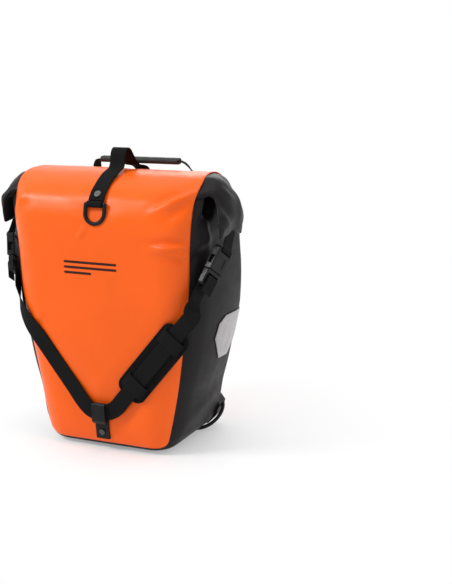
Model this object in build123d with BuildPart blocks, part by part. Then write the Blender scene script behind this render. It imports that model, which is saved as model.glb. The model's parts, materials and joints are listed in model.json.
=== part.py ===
"""A roll-top pannier bag for a bicycle rack, in millimetres.

The origin is the middle of the bag's flat underside. +Z is up, -Y is the outer face with the shoulder
strap, +Y is the rack side with the rail and hooks, and +X is the bag's right seen from the outer face.
"""
import math
import os

from build123d import *

os.makedirs("parts", exist_ok=True)

# ---- bag shell -------------------------------------------------------------------------------------
FABRIC = 1.2
# height, half width at the front, half width at the back, front face, back face, front and back corner radius
SECTIONS = [
    (0, 88, 92, -62, 58, 26, 18),
    (5, 98, 105, -74, 69, 30, 20),
    (16, 106, 119, -82, 77, 34, 22),
    (36, 112, 128, -86, 80, 36, 24),
    (100, 124, 143, -89, 80, 40, 26),
    (170, 138, 157, -90, 80, 40, 26),
    (220, 147, 167, -90, 80, 40, 26),
    (330, 152, 170, -90, 80, 40, 26),
    (372, 152, 168, -84, 72, 34, 24),
    (396, 148, 160, -66, 58, 24, 20),
]
# seams: half width of the coloured front and back panels against height
FRONT_SEAM = [(11, 94), (98, 112), (170, 126), (250, 139), (320, 144), (400, 146)]
BACK_SEAM = [(13, 88), (57, 117), (210, 146), (336, 150), (400, 152)]
FLOOR_HALF = 86
TOP_OF_SHELL = 396
TOP_OF_BAG = 420
BACK_Y = 80
FRONT_Y = -90

# ---- webbing ---------------------------------------------------------------------------------------
WEB = 25.0
WEB_THICK = 1.6
GAP = 0.4

# ---- rack side -------------------------------------------------------------------------------------
RAIL_HALF = 151.0
RAIL_LOW, RAIL_HIGH = 304.0, 333.0
RAIL_MID = (RAIL_LOW + RAIL_HIGH) / 2
RAIL_THICK = 7.0
RAIL_FACE = BACK_Y + RAIL_THICK
RAIL_REBATE = 2.8
RAIL_SCREW_X = 144.0
HOOK_X = 88.0
HOOK_HALF = 13.5
TUBE_Y, TUBE_Z, TUBE_R = 101.0, 322.0, 8.0
HOOK_WALL = 5.0
ARC_R, ARC_LOW_Z = 155.0, 110.0
ARC_CENTRE_Z = ARC_LOW_Z + ARC_R
ARC_HALF_ANGLE = 27.0
ARC_SCREW = (74.0, 141.0)
PROTECTOR_SCREWS = [(-103.0, 34.0), (0.0, 24.0), (103.0, 34.0)]
SCREW_R = 2.5
HEAD_R = 5.0
INSIDE_Y = 73.0

# ---- roll ends, side buckles and shoulder strap ------------------------------------------------------
# the left roll end is pulled closer to the bag than the right one
EAR_X = {-1: 174.0, 1: 190.0}
EAR_BEND = {-1: 18.0, 1: 26.0}
EAR_Y, EAR_END = -28.0, 346.0
EAR_WIDE, EAR_THICK = 80.0, 13.0
STRAP_TOP = {-1: Vector(-183.0, -24.0, 343.0), 1: Vector(190.0, -24.0, 343.0)}
RIGHT_KNEE = Vector(150.0, -96.1, 222.2)
LEFT_KNEE = Vector(150.0, -80.0, 217.0)
BUCKLE_NORMAL = Vector(0.94, -0.30, -0.13)
BUCKLE_DROP = 69.0
PAD_SLOPE = Vector(0.6345, 0, 0.7729)
PAD_CENTRE = Vector(90.0, -92.75, 149.1)
PAD_SIZE = (140.0, 48.0, 4.5)
STRAP_HOOK_Z = 63.5
HOOK_RIVET = Plane(origin=(0, -86, 31), z_dir=(0, -0.9945, -0.1045))

# ---- side-release buckle, in its own frame: x from the male end to the female end -------------------
BUCKLE_HALF = 17.0
BUCKLE_THICK = 12.0
FEMALE_LENGTH = 37.0
MALE_FRAME = 25.0
CAVITY_HALF = 13.0
PRONG_ROOT = (2.3, 9.6)


def save(part, name):
    part.label = name
    export_step(part, f"parts/{name}.step")


def half_width(table, z):
    """Straight-line reading of a (height, half width) table."""
    for (z0, w0), (z1, w1) in zip(table, table[1:]):
        if z <= z1:
            return w0 + (w1 - w0) * (z - z0) / (z1 - z0)
    return table[-1][1]


# ---- bag shell -------------------------------------------------------------------------------------
def bag_volume(inset):
    """The bag's whole outer volume, shrunk by inset on every side."""
    with BuildPart() as volume:
        for index, (z, front, back, y0, y1, front_r, back_r) in enumerate(SECTIONS):
            level = z + (inset if index == 0 else -inset if index == len(SECTIONS) - 1 else 0)
            with BuildSketch(Plane.XY.offset(level)):
                with BuildLine():
                    Polyline(
                        (-front + inset, y0 + inset),
                        (front - inset, y0 + inset),
                        (back - inset, y1 - inset),
                        (-back + inset, y1 - inset),
                        close=True,
                    )
                make_face()
                corners = [v for v in vertices() if v.Y < 0]
                fillet(corners, front_r - inset)
                corners = [v for v in vertices() if v.Y > y1 - inset - 1]
                fillet(corners, back_r - inset)
        loft(ruled=True)
    return volume.part


def seam_prism(table, y_from, y_to):
    """A block with the outline of a coloured panel, from y_from to y_to."""
    with BuildPart() as prism:
        with BuildSketch(Plane.XZ.offset(-y_to)):
            right = [(w, z) for z, w in table]
            left = [(-w, z) for z, w in reversed(table)]
            with BuildLine():
                Polyline(*right, *left, close=True)
            make_face()
        extrude(amount=y_to - y_from)
    return prism.part


def screw_holes(places, radius):
    """Round cutters along Y at (x, z) places through the whole back of the bag."""
    with BuildPart() as cutters:
        with BuildSketch(Plane.XZ.offset(-60)):
            with Locations(*places):
                Circle(radius)
        extrude(amount=-60)
    return cutters.part


RAIL_SCREWS = [(-RAIL_SCREW_X, RAIL_MID), (0, RAIL_MID), (RAIL_SCREW_X, RAIL_MID)]
ARC_SCREWS = [(-ARC_SCREW[0], ARC_SCREW[1]), ARC_SCREW]
ALL_SCREWS = RAIL_SCREWS + ARC_SCREWS + PROTECTOR_SCREWS


def bag_panels(outer):
    shell = outer - bag_volume(FABRIC)
    holes = screw_holes(ALL_SCREWS, SCREW_R + 0.1)
    front = seam_prism(FRONT_SEAM, -120, 0)
    back = seam_prism(BACK_SEAM, 0, 120)
    with BuildPart() as front_panel:
        add(shell)
        add(front, mode=Mode.INTERSECT)
        with BuildSketch(HOOK_RIVET):
            Circle(2.2)
        extrude(amount=8, both=True, mode=Mode.SUBTRACT)
    save(front_panel.part, "front_panel")
    with BuildPart() as back_panel:
        add(shell)
        add(back, mode=Mode.INTERSECT)
        add(holes, mode=Mode.SUBTRACT)
    save(back_panel.part, "back_panel")
    with BuildPart() as gusset:
        add(shell)
        add(front, mode=Mode.SUBTRACT)
        add(back, mode=Mode.SUBTRACT)
        add(holes, mode=Mode.SUBTRACT)
    with BuildPart() as floor:
        add(gusset.part)
        with Locations((0, 0, 200)):
            Box(2 * FLOOR_HALF, 400, 500, mode=Mode.INTERSECT)
    save(floor.part, "gusset_bottom")
    for side, name in ((-1, "gusset_left"), (1, "gusset_right")):
        with BuildPart() as strip:
            add(gusset.part)
            with Locations((side * (FLOOR_HALF + 100), 0, 200)):
                Box(200, 400, 500, mode=Mode.INTERSECT)
        save(strip.part, name)


def reflectors(outer):
    """A six-sided reflective patch welded to each side, towards the rack."""
    skin = bag_volume(-0.6) - outer
    outline = [(70, 204), (4, 206), (-14, 196), (-20, 174), (2, 138), (34, 136), (74, 182)]
    for side, name in ((-1, "reflector_left"), (1, "reflector_right")):
        with BuildPart() as patch:
            with BuildSketch(Plane.YZ.offset(side * 120)):
                with BuildLine():
                    Polyline(*outline, close=True)
                make_face()
            extrude(amount=side * 80)
            add(skin, mode=Mode.INTERSECT)
        save(patch.part, name)


def stiffener_and_pocket():
    """The plate that keeps the back flat, and the flat pocket that hangs on it."""
    with BuildPart() as plate:
        with BuildSketch(Plane.XZ.offset(-(BACK_Y - FABRIC - 0.2))):
            with BuildLine():
                Polyline((-92, 40), (92, 40), (134, 210), (134, 328), (-134, 328), (-134, 210), close=True)
            make_face()
            fillet(vertices(), 8)
        extrude(amount=2)
        add(screw_holes(ALL_SCREWS, SCREW_R + 0.1), mode=Mode.SUBTRACT)
    save(plate.part, "back_stiffener")
    with BuildPart() as pocket:
        with BuildSketch(Plane.XZ.offset(-(INSIDE_Y - 0.5))):
            with Locations((0, 225)):
                RectangleRounded(200, 130, 10)
        extrude(amount=9)
        with BuildSketch(Plane.XZ.offset(-(INSIDE_Y - 1.5))):
            with Locations((0, 228)):
                Rectangle(197, 132)
        extrude(amount=7, mode=Mode.SUBTRACT)
    save(pocket.part, "inner_pocket")


# ---- roll closure ----------------------------------------------------------------------------------
ROLL_HALF = 150.0
BATTEN = (24.0, 2.0, 280.0)
BATTEN_PLACES = [(24, 405.0), (24, 411.0)]


def closure_roll():
    with BuildPart() as roll:
        with BuildSketch(Plane.YZ.offset(-ROLL_HALF)):
            with BuildLine():
                Polyline((-64, 396.3), (56, 396.3))
                Spline((56, 396.3), (68, 404), (60, 414), (36, 419), (0, 420), (-34, 416), (-64, 396.3))
            make_face()
        extrude(amount=2 * ROLL_HALF)
        with Locations(*[(0, y, z) for y, z in BATTEN_PLACES]):
            Box(BATTEN[2], BATTEN[0], BATTEN[1], mode=Mode.SUBTRACT)
    save(roll.part, "closure_roll")
    with BuildPart() as battens:
        with Locations(*[(0, y, z) for y, z in BATTEN_PLACES]):
            Box(BATTEN[2], BATTEN[0], BATTEN[1])
    save(battens.part, "mouth_battens")


def roll_ends():
    """The flattened ends of the roll, folded down over the bag's top corners."""
    top_z = 408.0
    for side, name in ((-1, "roll_end_left"), (1, "roll_end_right")):
        bend, reach = EAR_BEND[side], EAR_X[side]
        turn_x = reach - bend
        with BuildPart() as ear:
            with BuildLine(Plane.XZ.offset(-EAR_Y)):
                Line((side * ROLL_HALF, top_z), (side * turn_x, top_z))
                Line((side * reach, top_z - bend), (side * reach, EAR_END))
                RadiusArc((side * turn_x, top_z), (side * reach, top_z - bend), side * bend)
            with BuildSketch(Plane.YZ.offset(side * ROLL_HALF)):
                with Locations((EAR_Y, top_z)):
                    RectangleRounded(EAR_WIDE, EAR_THICK, 6)
            sweep()
            with Locations((side * reach, STRAP_TOP[side].Y, EAR_END + 9)):
                Box(5.0, WEB + 1.0, 24, mode=Mode.SUBTRACT)
        save(ear.part, name)


# ---- rack rail, lower rail, edge protector ----------------------------------------------------------
def mounting_rail():
    slit_pitch = 5.0
    slits = [side * (22 + slit_pitch * i) for side in (-1, 1) for i in range(22)]
    with BuildPart() as rail:
        with BuildSketch(Plane.XZ.offset(-BACK_Y)):
            with Locations((0, RAIL_MID)):
                RectangleRounded(2 * RAIL_HALF, RAIL_HIGH - RAIL_LOW, 6)
            with Locations((0, RAIL_LOW), (0, RAIL_HIGH)):
                Rectangle(30, 7, mode=Mode.SUBTRACT)
        extrude(amount=-RAIL_THICK)
        rim = rail.edges().filter_by(Plane.XZ).group_by(Axis.Y)[-1]
        chamfer(rim, 1.2)
        with Locations((0, BACK_Y, RAIL_LOW), (0, BACK_Y, RAIL_HIGH)):
            Box(2 * RAIL_HALF, 2 * RAIL_REBATE, 2 * RAIL_REBATE, mode=Mode.SUBTRACT)
        with BuildSketch(Plane.XZ.offset(-RAIL_FACE)):
            with Locations(*[(x, RAIL_MID) for x in slits]):
                SlotOverall(11, 2.0, rotation=80)
        extrude(amount=2, mode=Mode.SUBTRACT)
        with Locations((0, BACK_Y, RAIL_MID)):
            Box(WEB + 1.4, 6.0, 40, mode=Mode.SUBTRACT)
        add(screw_holes(RAIL_SCREWS, SCREW_R + 0.1), mode=Mode.SUBTRACT)
        with BuildSketch(Plane.XZ.offset(-RAIL_FACE)):
            with Locations(*RAIL_SCREWS):
                Circle(HEAD_R + 0.5)
        extrude(amount=2.4, mode=Mode.SUBTRACT)
    save(rail.part, "mounting_rail")


def arc_point(radius, degrees):
    """A point (x, z) on a circle about the lower rail's arc centre, measured from straight down."""
    a = math.radians(degrees)
    return radius * math.sin(a), ARC_CENTRE_Z - radius * math.cos(a)


def arc_band(inner, outer, half_angle):
    """Face outline of an arc-shaped band hanging below the arc centre."""
    with BuildSketch(Plane.XZ.offset(-BACK_Y)) as band:
        with BuildLine():
            lower = ThreePointArc(*[arc_point(outer, half_angle * t) for t in (-1, 0, 1)])
            upper = ThreePointArc(*[arc_point(inner, half_angle * t) for t in (-1, 0, 1)])
            Line(lower @ 0, upper @ 0)
            Line(lower @ 1, upper @ 1)
        make_face()
    return band.sketch


def arc_rail():
    """The curved lower rail that the turning hook slides along."""
    body = arc_band(ARC_R - 9, ARC_R + 9, ARC_HALF_ANGLE + 2)
    slot = arc_band(ARC_R - 3.1, ARC_R + 3.1, ARC_HALF_ANGLE)
    nut_groove = arc_band(ARC_R - 5.6, ARC_R + 5.6, ARC_HALF_ANGLE)
    with BuildPart() as rail:
        extrude(body, amount=-6)
        with BuildSketch(Plane.XZ.offset(-BACK_Y)):
            for side in (-1, 1):
                x, z = arc_point(ARC_R, side * (ARC_HALF_ANGLE + 2))
                with Locations((x, z)):
                    Circle(9)
                with Locations(((x + side * ARC_SCREW[0]) / 2, (z + ARC_SCREW[1]) / 2)):
                    Rectangle(18, 15)
                with Locations((side * ARC_SCREW[0], ARC_SCREW[1])):
                    Circle(9.5)
        extrude(amount=-6)
        rim = rail.edges().filter_by(Plane.XZ).group_by(Axis.Y)[-1]
        chamfer(rim, 1.2)
        extrude(slot, amount=-8, mode=Mode.SUBTRACT)
        extrude(nut_groove, amount=-3.2, mode=Mode.SUBTRACT)
        add(screw_holes(ARC_SCREWS, SCREW_R + 0.1), mode=Mode.SUBTRACT)
        with BuildSketch(Plane.XZ.offset(-(BACK_Y + 6))):
            with Locations(*ARC_SCREWS):
                Circle(HEAD_R + 0.5)
        extrude(amount=2.4, mode=Mode.SUBTRACT)
    save(rail.part, "arc_rail")


def edge_protector():
    """Moulded guard along the lower back edge, with a skid standing off each bottom corner."""
    outline = [(-86, 0), (86, 0), (112, 7), (127, 24), (132, 42), (122, 55), (104, 57), (88, 40), (66, 29)]
    outline += [(18, 29), (13, 38), (-13, 38), (-18, 29), (-66, 29), (-88, 40), (-104, 57), (-122, 55)]
    outline += [(-132, 42), (-127, 24), (-112, 7)]
    with BuildPart() as guard:
        with BuildSketch(Plane.XZ.offset(-58)):
            with BuildLine():
                Polyline(*outline, close=True)
            make_face()
            fillet(vertices().filter_by_position(Axis.Y, 5, 60), 3)
        extrude(amount=-(BACK_Y + 5 - 58))
        rim = guard.edges().filter_by(Plane.XZ).group_by(Axis.Y)[-1]
        fillet(rim, 2)
        add(bag_volume(-0.15), mode=Mode.SUBTRACT)
        for side in (-1, 1):
            with BuildLine():
                Spline((side * 126, 82, 42), (side * 133, 62, 27), (side * 118, 44, 9), (side * 96, 38, 3))
            with BuildSketch(Plane((side * 126, 82, 42), z_dir=(side * 7, -20, -15))):
                Circle(3)
            sweep()
        add(screw_holes(PROTECTOR_SCREWS, SCREW_R + 0.1), mode=Mode.SUBTRACT)
        add(bag_volume(-0.15), mode=Mode.SUBTRACT)
    return guard.part

# ---- webbing ---------------------------------------------------------------------------------------
def ribbon(path, width, thick):
    """Flat webbing through (point, normal) stations; the normal is the webbing's outer face."""
    with BuildPart() as strip:
        for i, (point, normal) in enumerate(path):
            before = path[max(i - 1, 0)][0]
            after = path[min(i + 1, len(path) - 1)][0]
            along = (after - before).normalized()
            face = (normal - along * normal.dot(along)).normalized()
            with BuildSketch(Plane(origin=point, x_dir=along.cross(face), z_dir=along)):
                Rectangle(width, thick)
        loft(ruled=True)
    return strip.part


def flat_path(points, x=0.0):
    """Stations in the YZ plane, each facing to the left of the direction of travel."""
    path = []
    for i, (y, z) in enumerate(points):
        y0, z0 = points[max(i - 1, 0)]
        y1, z1 = points[min(i + 1, len(points) - 1)]
        path.append((Vector(x, y, z), Vector(0, -(z1 - z0), y1 - y0)))
    return path


def buckle_plane(side):
    """Frame of a side buckle: x up the strap from the male end to the female end, z outward."""
    top = STRAP_TOP[side]
    knee = RIGHT_KNEE if side > 0 else Vector(-LEFT_KNEE.X, LEFT_KNEE.Y, LEFT_KNEE.Z)
    up = (top - knee).normalized()
    normal = Vector(side * BUCKLE_NORMAL.X, BUCKLE_NORMAL.Y, BUCKLE_NORMAL.Z)
    normal = (normal - up * normal.dot(up)).normalized()
    return Plane(origin=top - up * BUCKLE_DROP, x_dir=up, z_dir=normal)


CLOSURE_AXIS = Vector(0, 8.5, -62.0).normalized()
CLOSURE_PLANE = Plane(origin=(0, 80.6, 379.5), x_dir=CLOSURE_AXIS, z_dir=(0, 62.0, 8.5))


def side_release_buckle(plane, place):
    """Socket, plug with ladder lock, two sprung arms and the plug's webbing tail."""
    mouth = 0.3
    with BuildPart() as socket:
        with Locations(((mouth + FEMALE_LENGTH) / 2, 0, 0)):
            Box(FEMALE_LENGTH - mouth, 2 * BUCKLE_HALF, BUCKLE_THICK)
        fillet(socket.edges().filter_by(Axis.Z).group_by(Axis.X)[-1], 5)
        fillet(socket.faces().sort_by(Axis.Z)[-1].edges(), 1.6)
        fillet(socket.faces().sort_by(Axis.Z)[0].edges(), 1.6)
        with Locations((mouth + 11.85, 0, 0)):
            Box(24.3, 2 * CAVITY_HALF, 6, mode=Mode.SUBTRACT)
        for side in (-1, 1):
            with Locations((14, side * BUCKLE_HALF, 0)):
                Box(13, 9, 7.6, mode=Mode.SUBTRACT)
        with Locations((15, 0, BUCKLE_THICK / 2)):
            Box(15, 15, 1.2, mode=Mode.SUBTRACT)
        with Locations((30.7, 0, 0)):
            Box(4.4, WEB + 1.4, BUCKLE_THICK, mode=Mode.SUBTRACT)
    save(plane.location * socket.part, f"{place}_buckle_socket")

    root_x, root_y = PRONG_ROOT
    with BuildPart() as plug:
        with Locations((-MALE_FRAME / 2, 0, 0)):
            Box(MALE_FRAME, 2 * BUCKLE_HALF, 7.6)
        fillet(plug.edges().filter_by(Axis.Z), 3)
        fillet(plug.faces().sort_by(Axis.Z)[-1].edges(), 1.2)
        with Locations((-18.5, 0, 0), (-8.3, 0, 0)):
            Box(5.4, WEB + 1.4, 8, mode=Mode.SUBTRACT)
        with Locations((2.1, 0, 0)):
            Box(4.6, 2 * CAVITY_HALF - 0.4, 5.4)
        with Locations((11.5, 0, 0)):
            Box(23, 6, 5.4)
        for side in (-1, 1):
            with Locations((root_x, side * root_y, 0)):
                Cylinder(2.05, 8, mode=Mode.SUBTRACT)
            with Locations((root_x + 2.5, side * (root_y - 0.2), 0)):
                Box(5, 4.4, 8, mode=Mode.SUBTRACT)
    save(plane.location * plug.part, f"{place}_buckle_plug")

    for side, arm in ((-1, "a"), (1, "b")):
        with BuildPart() as prong:
            with Locations((root_x, side * root_y, 0)):
                Cylinder(2.0, 5.2)
            with BuildSketch(Plane.XY.offset(-2.6)):
                with BuildLine():
                    outline = [(2.3, 8.4), (14, 7.6), (21.5, 8.6), (22.3, 10.4), (19.5, 12.7)]
                    outline += [(9.4, 12.7), (8.8, 10.8), (2.3, 10.8)]
                    Polyline(*[(x, side * y) for x, y in outline], close=True)
                make_face()
            extrude(amount=5.2)
        save(plane.location * prong.part, f"{place}_buckle_arm_{arm}")


def strap_tail(plane, place, length):
    """The webbing that weaves through the ladder lock and hangs back along the strap."""
    points = [(-8.3, -3.0), (-8.3, 3.2), (-9.2, 5.2), (-11, 5.9), (-15.8, 5.9), (-25.5, 5.4)]
    points.append((-25.5 - length, 5.0))
    stations = []
    for i, (x, z) in enumerate(points):
        x0, z0 = points[max(i - 1, 0)]
        x1, z1 = points[min(i + 1, len(points) - 1)]
        normal = plane.x_dir * (z1 - z0) + plane.z_dir * -(x1 - x0)
        stations.append((plane.origin + plane.x_dir * x + plane.z_dir * z, normal))
    save(ribbon(stations, WEB, 1.4), f"{place}_strap_tail")


def side_tab(side, place):
    """Webbing from inside the roll end, down and round the buckle socket's bar."""
    plane = buckle_plane(side)
    inside = Vector(side * EAR_X[side], STRAP_TOP[side].Y, EAR_END)
    tab_normal = Vector(side, -0.2, 0)
    bar = plane.origin + plane.x_dir * 35.0
    lift = plane.z_dir * 6.9
    path = [
        (inside + Vector(0, 0, 17), Vector(side, 0, 0)),
        (inside + Vector(0, 0, 1), Vector(side, 0, 0)),
        (bar + lift * 0.5 + plane.x_dir * 6.0, tab_normal + plane.z_dir),
        (bar + lift + plane.x_dir * 1.2, plane.z_dir),
        (bar + lift - plane.x_dir * 2.6, plane.z_dir + plane.x_dir * -0.4),
        (bar - plane.x_dir * 4.3 + plane.z_dir * 4.6, plane.x_dir * -1),
        (bar - plane.x_dir * 4.3 - plane.z_dir * 4.0, plane.x_dir * -1),
    ]
    save(ribbon(path, WEB - 1, 1.4), f"{place}_webbing_tab")


def shoulder_strap():
    """One length of webbing from buckle to buckle, held up by the hook at the bottom of the front."""
    right = buckle_plane(1)
    left = buckle_plane(-1)
    out = Vector(0, -1, 0)
    under = -5.4
    path = []
    for x in (-4, -26, -49):
        path.append((right.origin + right.x_dir * x + right.z_dir * under, right.z_dir))
    last = path[-1][0]
    path.append((last + (RIGHT_KNEE - last) * 0.5, right.z_dir + out))
    path.append((RIGHT_KNEE + Vector(3, 1.2, 3.8), right.z_dir * 0.4 + out))
    for x in (146, 90, 40, 28):
        path.append((Vector(x, -96.1, 222.2 - 1.218 * (150 - x)), out))
    path.append((Vector(18, -96.0, 67.4), out))
    path.append((Vector(8, -95.7, STRAP_HOOK_Z + 0.6), out))
    path.append((Vector(-8, -95.4, STRAP_HOOK_Z + 0.4), out))
    path.append((Vector(-18, -94.8, 67.2), out))
    path.append((Vector(-29, -94.0, 77.0), out))
    path.append((Vector(-45, -92.6, 97.2), out))
    path.append((Vector(-70, -91.6, 129.2), out))
    wrap = 42.0
    for degrees in (90, 78, 66, 54, 43):
        a = math.radians(degrees)
        face = Vector(-math.cos(a), -math.sin(a), 0)
        height = 172.9 + 1.22 * math.radians(90 - degrees) * wrap
        centre_x = 104 + 0.155 * (height - 181.5)
        path.append((face * wrap + Vector(-centre_x, -50, height), face))
    for x in (-49, -26, -4):
        path.append((left.origin + left.x_dir * x + left.z_dir * under, left.z_dir))
    save(ribbon(path, WEB, WEB_THICK), "shoulder_strap")


def shoulder_pad():
    plane = Plane(origin=PAD_CENTRE, x_dir=PAD_SLOPE, z_dir=(0, -1, 0))
    length, width, thick = PAD_SIZE
    with BuildPart() as pad:
        with BuildSketch(plane.offset(-thick / 2)):
            RectangleRounded(length, width, 14)
        extrude(amount=thick)
        fillet(pad.faces().sort_by(Axis.Y)[0].edges(), 1.6)
    save(pad.part, "shoulder_pad")


def pad_keepers():
    """Two low bridges on the pad that the webbing runs under."""
    plane = Plane(origin=PAD_CENTRE, x_dir=PAD_SLOPE, z_dir=(0, -1, 0))
    base = PAD_SIZE[2] / 2
    with BuildPart() as keepers:
        with BuildSketch(Plane(origin=plane.origin, x_dir=(0, 1, 0), z_dir=plane.x_dir).offset(-58)):
            with BuildLine():
                top, low, leg = -base - 4.3, -base - 0.1, 17.5
                Polyline((low, -leg), (top + 1, -leg), (top, 1 - leg), (top, leg - 1), (top + 1, leg), (low, leg),
                         (low, leg - 3.6), (top + 1.3, leg - 3.6), (top + 1.3, 3.6 - leg), (low, 3.6 - leg),
                         close=True)
            make_face()
        extrude(amount=22)
    first = keepers.part
    second = first.moved(Location(plane.x_dir * 94))
    with BuildPart() as pair:
        add(first)
        add(second)
    save(pair.part, "pad_keepers")


# ---- closure strap, D-ring and front hook -----------------------------------------------------------
RING_BAR = (-87.0, 378.0)
RING_TILT = math.radians(12)
RIVET = (-84.3, 386.8)


def closure_strap():
    bar_y, bar_z = RING_BAR
    over = [(bar_y + 3.3, bar_z + 4.7), (-80.6, 387.4), (-73.8, 395.2), (-64.0, 402.4), (-51.0, 410.6)]
    over += [(-38.0, 416.6), (-27.0, 419.8), (-19.5, 423.0), (-15.5, 429.0), (-13.5, 437.0), (-11.5, 445.0)]
    over += [(-7.0, 450.4), (-0.5, 451.6), (6.0, 448.4), (12.5, 441.6), (19.5, 434.2), (26.5, 427.8), (33.0, 423.6)]
    over += [(40.0, 421.4), (49.0, 420.0), (58.0, 418.0), (66.0, 413.8)]
    for x in (-30.0, -4.0):
        point = CLOSURE_PLANE.origin + CLOSURE_PLANE.x_dir * x - CLOSURE_PLANE.z_dir * 5.4
        over.append((point.Y, point.Z))
    strap = ribbon(flat_path(over), WEB, WEB_THICK)
    with BuildPart() as eye:
        with Locations(Location((0, bar_y, bar_z), (0, 90, 0))):
            Cylinder(5.1, WEB - 0.6)
            Cylinder(3.3, WEB + 2, mode=Mode.SUBTRACT)
    save(Compound(children=[strap.solid(), eye.part.solid()]), "closure_strap")
    slope = Vector(0, -7.8, 6.8).normalized()
    with BuildPart() as rivet:
        with BuildSketch(Plane(origin=(0, -77.9, 391.8), z_dir=slope)):
            Circle(5.5)
        extrude(amount=1.6)
        fillet(rivet.faces().sort_by(Axis.Y)[0].edges(), 1.0)
    save(rivet.part, "closure_rivet")


def d_ring():
    bar_y, bar_z = RING_BAR
    down = Vector(0, -math.sin(RING_TILT), -math.cos(RING_TILT))
    plane = Plane(origin=(0, bar_y, bar_z), x_dir=(1, 0, 0), z_dir=Vector(1, 0, 0).cross(down))
    half, wire = 15.4, 2.9
    with BuildPart() as ring:
        with BuildLine(plane) as path:
            Line((-half, 0), (half, 0))
            Line((half, 0), (half, 13))
            ThreePointArc((half, 13), (0, 13 + half), (-half, 13))
            Line((-half, 13), (-half, 0))
        with BuildSketch(Plane(origin=(0, bar_y, bar_z), z_dir=(1, 0, 0))):
            Circle(wire)
        sweep(path=path.wire(), transition=Transition.ROUND)
    save(ring.part, "d_ring")


def strap_hook():
    half = 11.0
    with BuildPart() as hook:
        with BuildSketch(Plane.YZ.offset(-half)):
            with BuildLine():
                Polyline((-84.2, 19), (-88.6, 19), (-91.2, 44), (-98.2, 46.5), (-101.4, 51), (-102.4, 77),
                         (-100.2, 79), (-98.6, 77), (-98.2, 52), (-97.0, 50.2), (-94.0, 50.2), (-93.4, 53),
                         (-93.0, 74), (-91.6, 76), (-89.2, 76), (-87.6, 49), (-85.8, 33), close=True)
            make_face()
        extrude(amount=2 * half)
        fillet(hook.edges().filter_by(Axis.X).sort_by(Axis.Z)[-1:], 0.8)
        with BuildSketch(HOOK_RIVET):
            Circle(2.2)
        extrude(amount=12, both=True, mode=Mode.SUBTRACT)
    save(hook.part, "strap_hook")
    with BuildPart() as rivet:
        with BuildSketch(HOOK_RIVET.offset(4.2), HOOK_RIVET.offset(-4.5)):
            Circle(4.6)
        extrude(amount=1.6)
        with BuildSketch(HOOK_RIVET.offset(-3.5)):
            Circle(2.1)
        extrude(amount=8)
    save(rivet.part, "strap_hook_rivet")


def front_badge():
    """Three plain printed bars."""
    with BuildPart() as badge:
        with BuildSketch(Plane.XZ.offset(90.3)):
            for length, height in ((88, 292), (88, 284), (46, 276)):
                with Locations((-53 + length / 2, height)):
                    RectangleRounded(length, 3.6, 1.7)
        extrude(amount=0.4)
    save(badge.part, "front_badge")


# ---- rack hooks and carrying handle -----------------------------------------------------------------
CATCH = (90.0, 306.0)
LIFT_HALF = 7.8
LUG_BAR = (89.5, 384.0)


def rack_hook(side, place):
    x0 = side * HOOK_X
    wall = TUBE_R + 0.05
    outer = wall + HOOK_WALL
    with BuildPart() as hook:
        with BuildSketch(Plane.YZ.offset(x0 - HOOK_HALF)):
            with BuildLine():
                Polyline((87.3, 292), (92.7, 292), (92.7, 340), (97, 344), (97, 369), (95, 371), (84.5, 371),
                         (82.5, 369), (82.5, 344), (80.5, 338), (80.5, 330.7), (82.3, 330.7), (82.3, 333.4),
                         (87.3, 333.4), (87.3, 303.6), (82.3, 303.6), (82.3, 306.3), (80.5, 306.3), (80.5, 300),
                         (87.3, 298), close=True)
            make_face()
            with Locations((TUBE_Y, TUBE_Z)):
                Circle(outer)
            with BuildLine():
                Polyline((TUBE_Y + wall, TUBE_Z), (TUBE_Y + outer, TUBE_Z), (TUBE_Y + outer, 297),
                         (TUBE_Y + outer - 2, 292), (TUBE_Y + wall + 1.6, 292), (TUBE_Y + wall, 300), close=True)
            make_face()
            with Locations((TUBE_Y, TUBE_Z)):
                Circle(wall, mode=Mode.SUBTRACT)
            with Locations((TUBE_Y, TUBE_Z - 16)):
                Rectangle(2 * wall, 32, mode=Mode.SUBTRACT)
        extrude(amount=2 * HOOK_HALF)
        with Locations((x0, 90, 356)):
            Box(2 * LIFT_HALF + 0.4, 6.6, 36, mode=Mode.SUBTRACT)
        with Locations((x0, 90, 301)):
            Box(10.6, 8, 24, mode=Mode.SUBTRACT)
        with Locations(Location((x0, *CATCH), (0, 90, 0))):
            Cylinder(1.3, 18, mode=Mode.SUBTRACT)
        for edge_side in (-1, 1):
            with Locations((x0 + edge_side * HOOK_HALF, 105, 326)):
                Box(9, 25, 80, mode=Mode.SUBTRACT)
    save(hook.part, f"rack_hook_{place}")

    with BuildPart() as pin:
        with Locations(Location((x0, *CATCH), (0, 90, 0))):
            Cylinder(1.25, 17.6)
    save(pin.part, f"catch_pin_{place}")

    catch_y, catch_z = CATCH
    with BuildPart() as catch:
        with BuildSketch(Plane.YZ.offset(x0 - 5)):
            with Locations((catch_y, catch_z)):
                Circle(2.6)
            with BuildLine():
                Polyline((catch_y, catch_z - 2.6), (103.5, 303.6), (106.8, 306.6), (105.5, 309.6), (99, 310.6),
                         (catch_y, catch_z + 2.6), close=True)
            make_face()
            with Locations((catch_y, catch_z)):
                Circle(1.3, mode=Mode.SUBTRACT)
        extrude(amount=10)
    save(catch.part, f"catch_{place}")

    with BuildPart() as lift:
        with Locations((x0, 90, 358.5)):
            Box(2 * LIFT_HALF, 6.2, 31)
        with Locations((x0, 89.5, 379.2)):
            Box(24, 6.2, 15)
        fillet(lift.edges().filter_by(Axis.Y).sort_by(Axis.Z)[-2:], 3)
        with Locations((x0, 89.5, 378.3)):
            Box(17.4, 9, 5.8, mode=Mode.SUBTRACT)
    save(lift.part, f"latch_lift_{place}")


HANDLE_LEAN = math.radians(36)


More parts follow.
